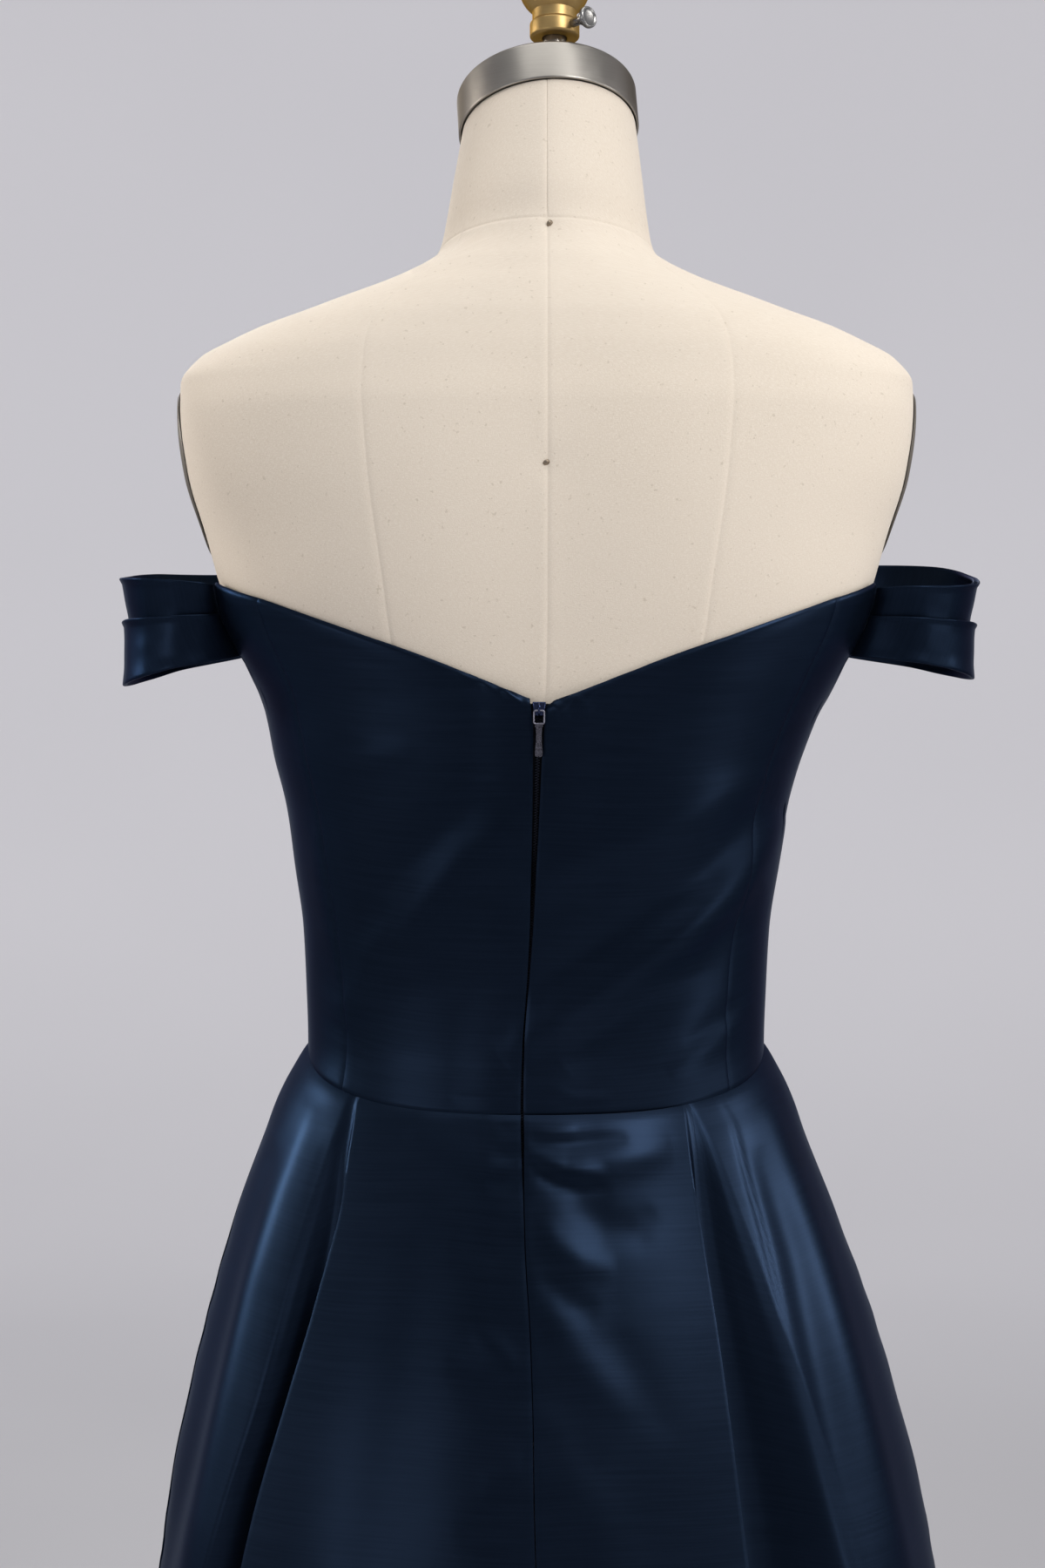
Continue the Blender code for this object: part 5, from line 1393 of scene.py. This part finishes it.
def makeNeckCap():
    outer, top = neck["capRadius"], neck["capHeight"]
    inner, roof = outer - neck["capWall"], neck["overlap"] + 0.5 * mm
    profile = rounded([
        (0.0, roof), (inner, roof), (inner, 0.0), (outer - 0.3 * mm, 0.0), (outer, 0.6 * mm), (outer, 1.5 * mm),
        (outer, top - 1.4 * mm), (outer - 1.2 * mm, top), (outer - 4.5 * mm, top), (outer - 5.2 * mm, top - 0.5 * mm),
        (0.0, top - 0.5 * mm),
    ], 0.7 * mm)
    mesh = spunProfile(profile, 144)
    bmesh.ops.scale(mesh, vec=(1, neck["capDepthShare"], 1), verts=mesh.verts)
    bmesh.ops.transform(mesh, matrix=neckFrame(), verts=mesh.verts)
    radius, high = neck["studRadius"], neck["studHeight"]
    stud = spunProfile(rounded([(0.0, -1.5 * mm), (radius + 3 * mm, -1.5 * mm), (radius + 3 * mm, 1.2 * mm),
                                (radius, 1.8 * mm), (radius, high - 1.0 * mm), (radius - 1.0 * mm, high),
                                (0.0, high)], 0.5 * mm), 48)
    bmesh.ops.transform(stud, matrix=studFrame(), verts=stud.verts)
    joined(mesh, stud)
    finish("neck_cap", mesh, metal["brushed steel"], replaced="form_neck_cap", sharp=50)


def makeFinial():
    bore = neck["studRadius"] + 0.4 * mm
    boreTop = neck["studHeight"] - neck["collarLift"] + 0.3 * mm
    outer, band, high = neck["collarRadius"], neck["collarBand"], neck["collarHeight"]
    throat, ball = outer - 1.3 * mm, neck["ballRadius"]
    centre = high + math.sqrt(ball**2 - throat**2)
    profile = rounded([
        (0.0, boreTop), (bore, boreTop), (bore, 0.0), (outer - 1.2 * mm, 0.0), (outer, 1.0 * mm),
        (outer, band - 0.9 * mm), (outer - 0.9 * mm, band), (throat, band + 0.4 * mm), (throat, high),
    ], 0.6 * mm)
    start = math.asin(throat / ball)
    for k in range(1, 28):
        angle = math.pi - start - (math.pi - start) * k / 28
        profile.append((ball * math.sin(angle), centre + ball * math.cos(angle)))
    profile.append((0.0, centre + ball))
    finish("brass_finial", spunProfile(profile, 96), metal["aged brass"], replaced="form_finial",
           sharp=35, place=studFrame(neck["collarLift"]))


def makeThumbScrew():
    radius, size = neck["screwRadius"], neck["screwHead"]
    tip = neck["studRadius"] + 0.3 * mm
    shoulder = neck["collarRadius"] + 6.0 * mm
    head = shoulder + 3.4 * mm
    profile = rounded([
        (0.0, tip), (radius, tip), (radius, shoulder), (radius + 1.0 * mm, shoulder + 0.8 * mm),
        (radius + 1.0 * mm, head - 0.6 * mm), (size - 0.7 * mm, head), (size, head + 0.7 * mm),
        (size, head + 2.4 * mm), (size - 0.8 * mm, head + 3.1 * mm), (size - 2.0 * mm, head + 2.5 * mm),
        (0.0, head + 2.1 * mm),
    ], 0.45 * mm)
    mesh = spunProfile(profile, 72)
    for vertex in mesh.verts:
        along = math.hypot(vertex.co.x, vertex.co.y)
        if along > size - 0.15 * mm:
            turn = math.atan2(vertex.co.y, vertex.co.x)
            grip = 1 - neck["knurl"] * (0.5 + 0.5 * math.cos(neck["knurls"] * turn))
            vertex.co.x *= grip
            vertex.co.y *= grip
    finish("thumb_screw", mesh, metal["polished steel"], body="thumb_screw",
           replaced="form_thumb_screw", sharp=35, place=screwFrame())


makeNeckCap()
makeFinial()
makeThumbScrew()
print("neck parts made")


# Arm plates, pins and stand

plates = {
    "halfDepth": 0.038,
    "halfHeight": 0.044,
    "centre": (-0.003, 1.333),
    "gap": 0.5 * mm,
    "edge": 1.0 * mm,
    "dome": 0.5 * mm,
    "cells": 40,
}


def plateRise(y, z, side, lift):
    # out from the flank of the figure
    low, high = np.full_like(y, 40.0), np.full_like(y, 140.0)
    for _ in range(30):
        middle = (low + high) / 2
        before = formRadius(middle, z) * np.cos(np.radians(middle)) > y
        low, high = np.where(before, middle, low), np.where(before, high, middle)
    out = (formRadius(low, z) + flank(low, z)) * np.sin(np.radians(low))
    return np.stack([side * (out + lift) + leanOf(z) * mm, y, z], axis=-1)


def makePlate(sideName, side):
    cells = plates["cells"]
    u, v = np.meshgrid(np.linspace(-1, 1, cells + 1), np.linspace(-1, 1, cells + 1), indexing="ij")
    across, up = u * np.sqrt(1 - v * v / 2), v * np.sqrt(1 - u * u / 2)
    y = plates["centre"][0] + plates["halfDepth"] * across
    z = plates["centre"][1] + plates["halfHeight"] * up
    far = np.clip(across**2 + up**2, 0, 1)
    lip = plates["edge"] * np.sqrt(np.clip(1 - np.clip((np.sqrt(far) - 0.965) / 0.035, 0, 1) ** 2, 0, 1))
    outside = plateRise(y, z, side, plates["gap"] + lip + plates["dome"] * (1 - far))
    inside = plateRise(y, z, side, plates["gap"] + 0 * y)
    mesh = gridOf(outside)
    joined(mesh, gridOf(inside))
    bmesh.ops.remove_doubles(mesh, verts=mesh.verts, dist=0.01 * mm)
    bmesh.ops.recalc_face_normals(mesh, faces=mesh.faces)
    name = f"arm_plate_{sideName}"
    finish(name, mesh, enamel["grey plate enamel"], replaced=f"form_{name}", sharp=40)


def makePins():
    # round heads of the pins that hold the cover
    mesh = bmesh.new()
    for angle, level, size in cover["pins"]:
        spot = Vector(formPoints(np.array(angle), np.array(level), -cover["pinSink"]))
        aside = Vector(formPoints(np.array(angle + 1.0), np.array(level))) - spot
        above = Vector(formPoints(np.array(angle), np.array(level + 1 * mm))) - spot
        facing = aside.cross(above).normalized()
        if facing.y < 0:
            facing.negate()
        pin = spunProfile([(0.0, -0.4 * mm), (size, -0.4 * mm), (size, 0.1 * mm), (0.93 * size, 0.5 * mm),
                           (0.7 * size, 0.85 * mm), (0.35 * size, 1.05 * mm), (0.0, 1.1 * mm)], 24)
        place = Matrix.Translation(spot) @ facing.to_track_quat("Z", "Y").to_matrix().to_4x4()
        bmesh.ops.transform(pin, matrix=place, verts=pin.verts)
        joined(mesh, pin)
    finish("cover_pins", mesh, metal["dull pin metal"], sharp=50)


stand = {
    "postRadius": 16 * mm,
    "flangeRadius": 48 * mm,
    "flange": 6 * mm,
    "baseRadius": 180 * mm,
    "base": 10 * mm,
    "hubRadius": 32 * mm,
    "hubHeight": 40 * mm,
    "gap": 0.3 * mm,
    "screws": 4,
    "screwCircle": 0.70,
    "screwHead": 4.2 * mm,
}


def makeStand():
    top = figure["bottom"] - stand["gap"]
    post, flange, plate = stand["postRadius"], stand["flangeRadius"], stand["flange"]
    foot = stand["hubHeight"] + stand["gap"]
    mesh = spunProfile(rounded([
        (0.0, foot), (post, foot), (post, top - plate - 14 * mm), (post + 2.5 * mm, top - plate - 12 * mm),
        (post + 2.5 * mm, top - plate), (flange, top - plate), (flange, top), (0.0, top),
    ], 1.2 * mm), 96)
    finish("stand_tube", mesh, metal["drawn steel tube"], replaced="stand_post", sharp=40)

    radius, thick, hub, high = stand["baseRadius"], stand["base"], stand["hubRadius"], stand["hubHeight"]
    mesh = spunProfile(rounded([
        (0.0, 0.0), (radius - 1.0 * mm, 0.0), (radius, 1.0 * mm), (radius, thick - 4 * mm), (radius - 4 * mm, thick),
        (hub + 8 * mm, thick + 3 * mm), (hub, thick + 8 * mm), (hub - 6 * mm, high), (0.0, high),
    ], 3.0 * mm), 120)
    finish("stand_foot", mesh, enamel["black iron enamel"], replaced="stand_base", sharp=40)

    mesh = bmesh.new()
    circle, size = stand["screwCircle"] * flange, stand["screwHead"]
    for k in range(stand["screws"]):
        turn = math.tau * (k + 0.5) / stand["screws"]
        head = spunProfile([(0.0, 0.0), (size, 0.0), (size - 0.2 * mm, -1.2 * mm), (size - 1.6 * mm, -2.2 * mm),
                            (size - 2.8 * mm, -2.4 * mm), (size - 3.0 * mm, -1.6 * mm), (0.0, -1.6 * mm)], 20)
        middle = (circle * math.cos(turn), circle * math.sin(turn), top - plate)
        bmesh.ops.translate(head, vec=middle, verts=head.verts)
        joined(mesh, head)
    bmesh.ops.recalc_face_normals(mesh, faces=mesh.faces)
    finish("flange_screws", mesh, metal["polished steel"], sharp=40)


for sideName, side in sides:
    makePlate(sideName, side)
makePins()
makeStand()
print("stand made")


# Studio

studio = {
    "eye": (0.0099, 1.58, 1.173),
    "lens": 70.0,
    "room": 9.5,
    "bend": 4.0,
    "wall": 9.0,
    "under": 0.5 * mm,
    # painted light: the paper's own glow, dim beside the camera and bright on the backdrop behind the gown
    "paintedGlow": (rgb(0.085, 0.083, 0.088), rgb(0.345, 0.338, 0.357)),  # beside the camera, behind the gown
    "sky": (rgb(0.96, 0.97, 1.0), 0.38),
    "lights": (  # name, place, aim, width and height, power in watts, spread in degrees, colour
        ("key", (-1.6, 1.9, 3.1), (0.0, 0.0, 1.20), (0.5, 0.5), 42.0, 180, (1.0, 0.985, 0.96)),
        ("side", (-2.5, 1.3, 0.85), (0.0, 0.0, 1.15), (0.6, 0.6), 6.5, 180, (1.0, 0.99, 0.97)),
        ("left", (2.0, 2.2, 1.2), (0.0, 0.0, 1.25), (1.2, 0.7), 9.0, 180, (1.0, 0.99, 0.97)),
        ("fill", (2.4, -0.6, 1.8), (0.15, 0.0, 0.62), (0.4, 0.9), 4.6, 44, (1.0, 0.92, 0.82)),
        ("edge", (-2.4, 0.2, 1.95), (-0.15, 0.0, 0.62), (0.35, 0.7), 2.3, 44, (1.0, 0.97, 0.93)),
        ("top", (0.0, 0.3, 3.3), (0.0, 0.0, 1.2), (2.0, 1.6), 18.0, 180, (1.0, 0.99, 0.97)),
        ("front", (0.8, -3.2, 3.0), (0.0, 0.0, 1.0), (2.4, 2.0), 30.0, 180, (1.0, 0.99, 0.98)),
    ),
}


def makeStudio():
    scene = bpy.context.scene
    lens = bpy.data.cameras.new("camera")
    lens.lens = studio["lens"]
    lens.sensor_width = 36.0
    lens.sensor_fit = "AUTO"
    camera = bpy.data.objects.new("camera", lens)
    camera.location = studio["eye"]
    camera.rotation_euler = (math.radians(90), 0, math.radians(180))
    scene.collection.objects.link(camera)
    scene.camera = camera

    room, bend = studio["room"], studio["bend"]
    profile = [(0.0, 0.0), (room - bend, 0.0)]
    for k in range(1, 17):
        turn = math.pi / 2 * k / 16
        profile.append((room - bend + bend * math.sin(turn), bend - bend * math.cos(turn)))
    profile.append((room, studio["wall"]))
    mesh = spunProfile(profile, 96)
    for vertex in mesh.verts:
        vertex.co.z -= studio["under"]
    data = bpy.data.meshes.new("studio_floor")
    mesh.to_mesh(data)
    mesh.free()
    data.flip_normals()
    paper = Paint("pale paper", {"Specular IOR Level": 0.2})
    tone = paper.between(paper.noise(0.6, 2.0), 0.3, 0.7)
    colour = paper.mix(tone, rgb(0.50, 0.495, 0.51), rgb(0.53, 0.525, 0.54))
    # painted light: the paper glows as if lit, brighter behind the gown and towards the top
    behind = paper.between(paper.axis("Y") * -1.0, 2.4, 6.0)
    paintedGlowRise = paper.between(paper.axis("Z"), -0.8, 0.9) * 0.6 + 0.4
    paintedGlow = paper.mix(behind * paintedGlowRise, *studio["paintedGlow"])
    data.materials.append(paper.set(Base_Color=colour, Roughness=0.9, Emission_Color=paintedGlow, Emission_Strength=1.0))
    data.shade_smooth()
    floor = bpy.data.objects.new("studio_floor", data)
    scene.collection.objects.link(floor)

    for name, place, aim, size, power, spread, colour in studio["lights"]:
        lamp = bpy.data.lights.new(name, "AREA")
        lamp.shape = "RECTANGLE"
        lamp.size, lamp.size_y = size
        lamp.energy = power
        lamp.spread = math.radians(spread)
        lamp.color = colour
        made = bpy.data.objects.new(name, lamp)
        made.location = place
        made.rotation_euler = (Vector(aim) - Vector(place)).to_track_quat("-Z", "Y").to_euler()
        made.visible_camera = False
        scene.collection.objects.link(made)

    world = bpy.data.worlds.new("studio")
    scene.world = world
    world.use_nodes = True
    back = world.node_tree.nodes["Background"]
    back.inputs["Color"].default_value, back.inputs["Strength"].default_value = studio["sky"]
    scene.view_settings.view_transform = "Standard"


makeStudio()
print("studio made")
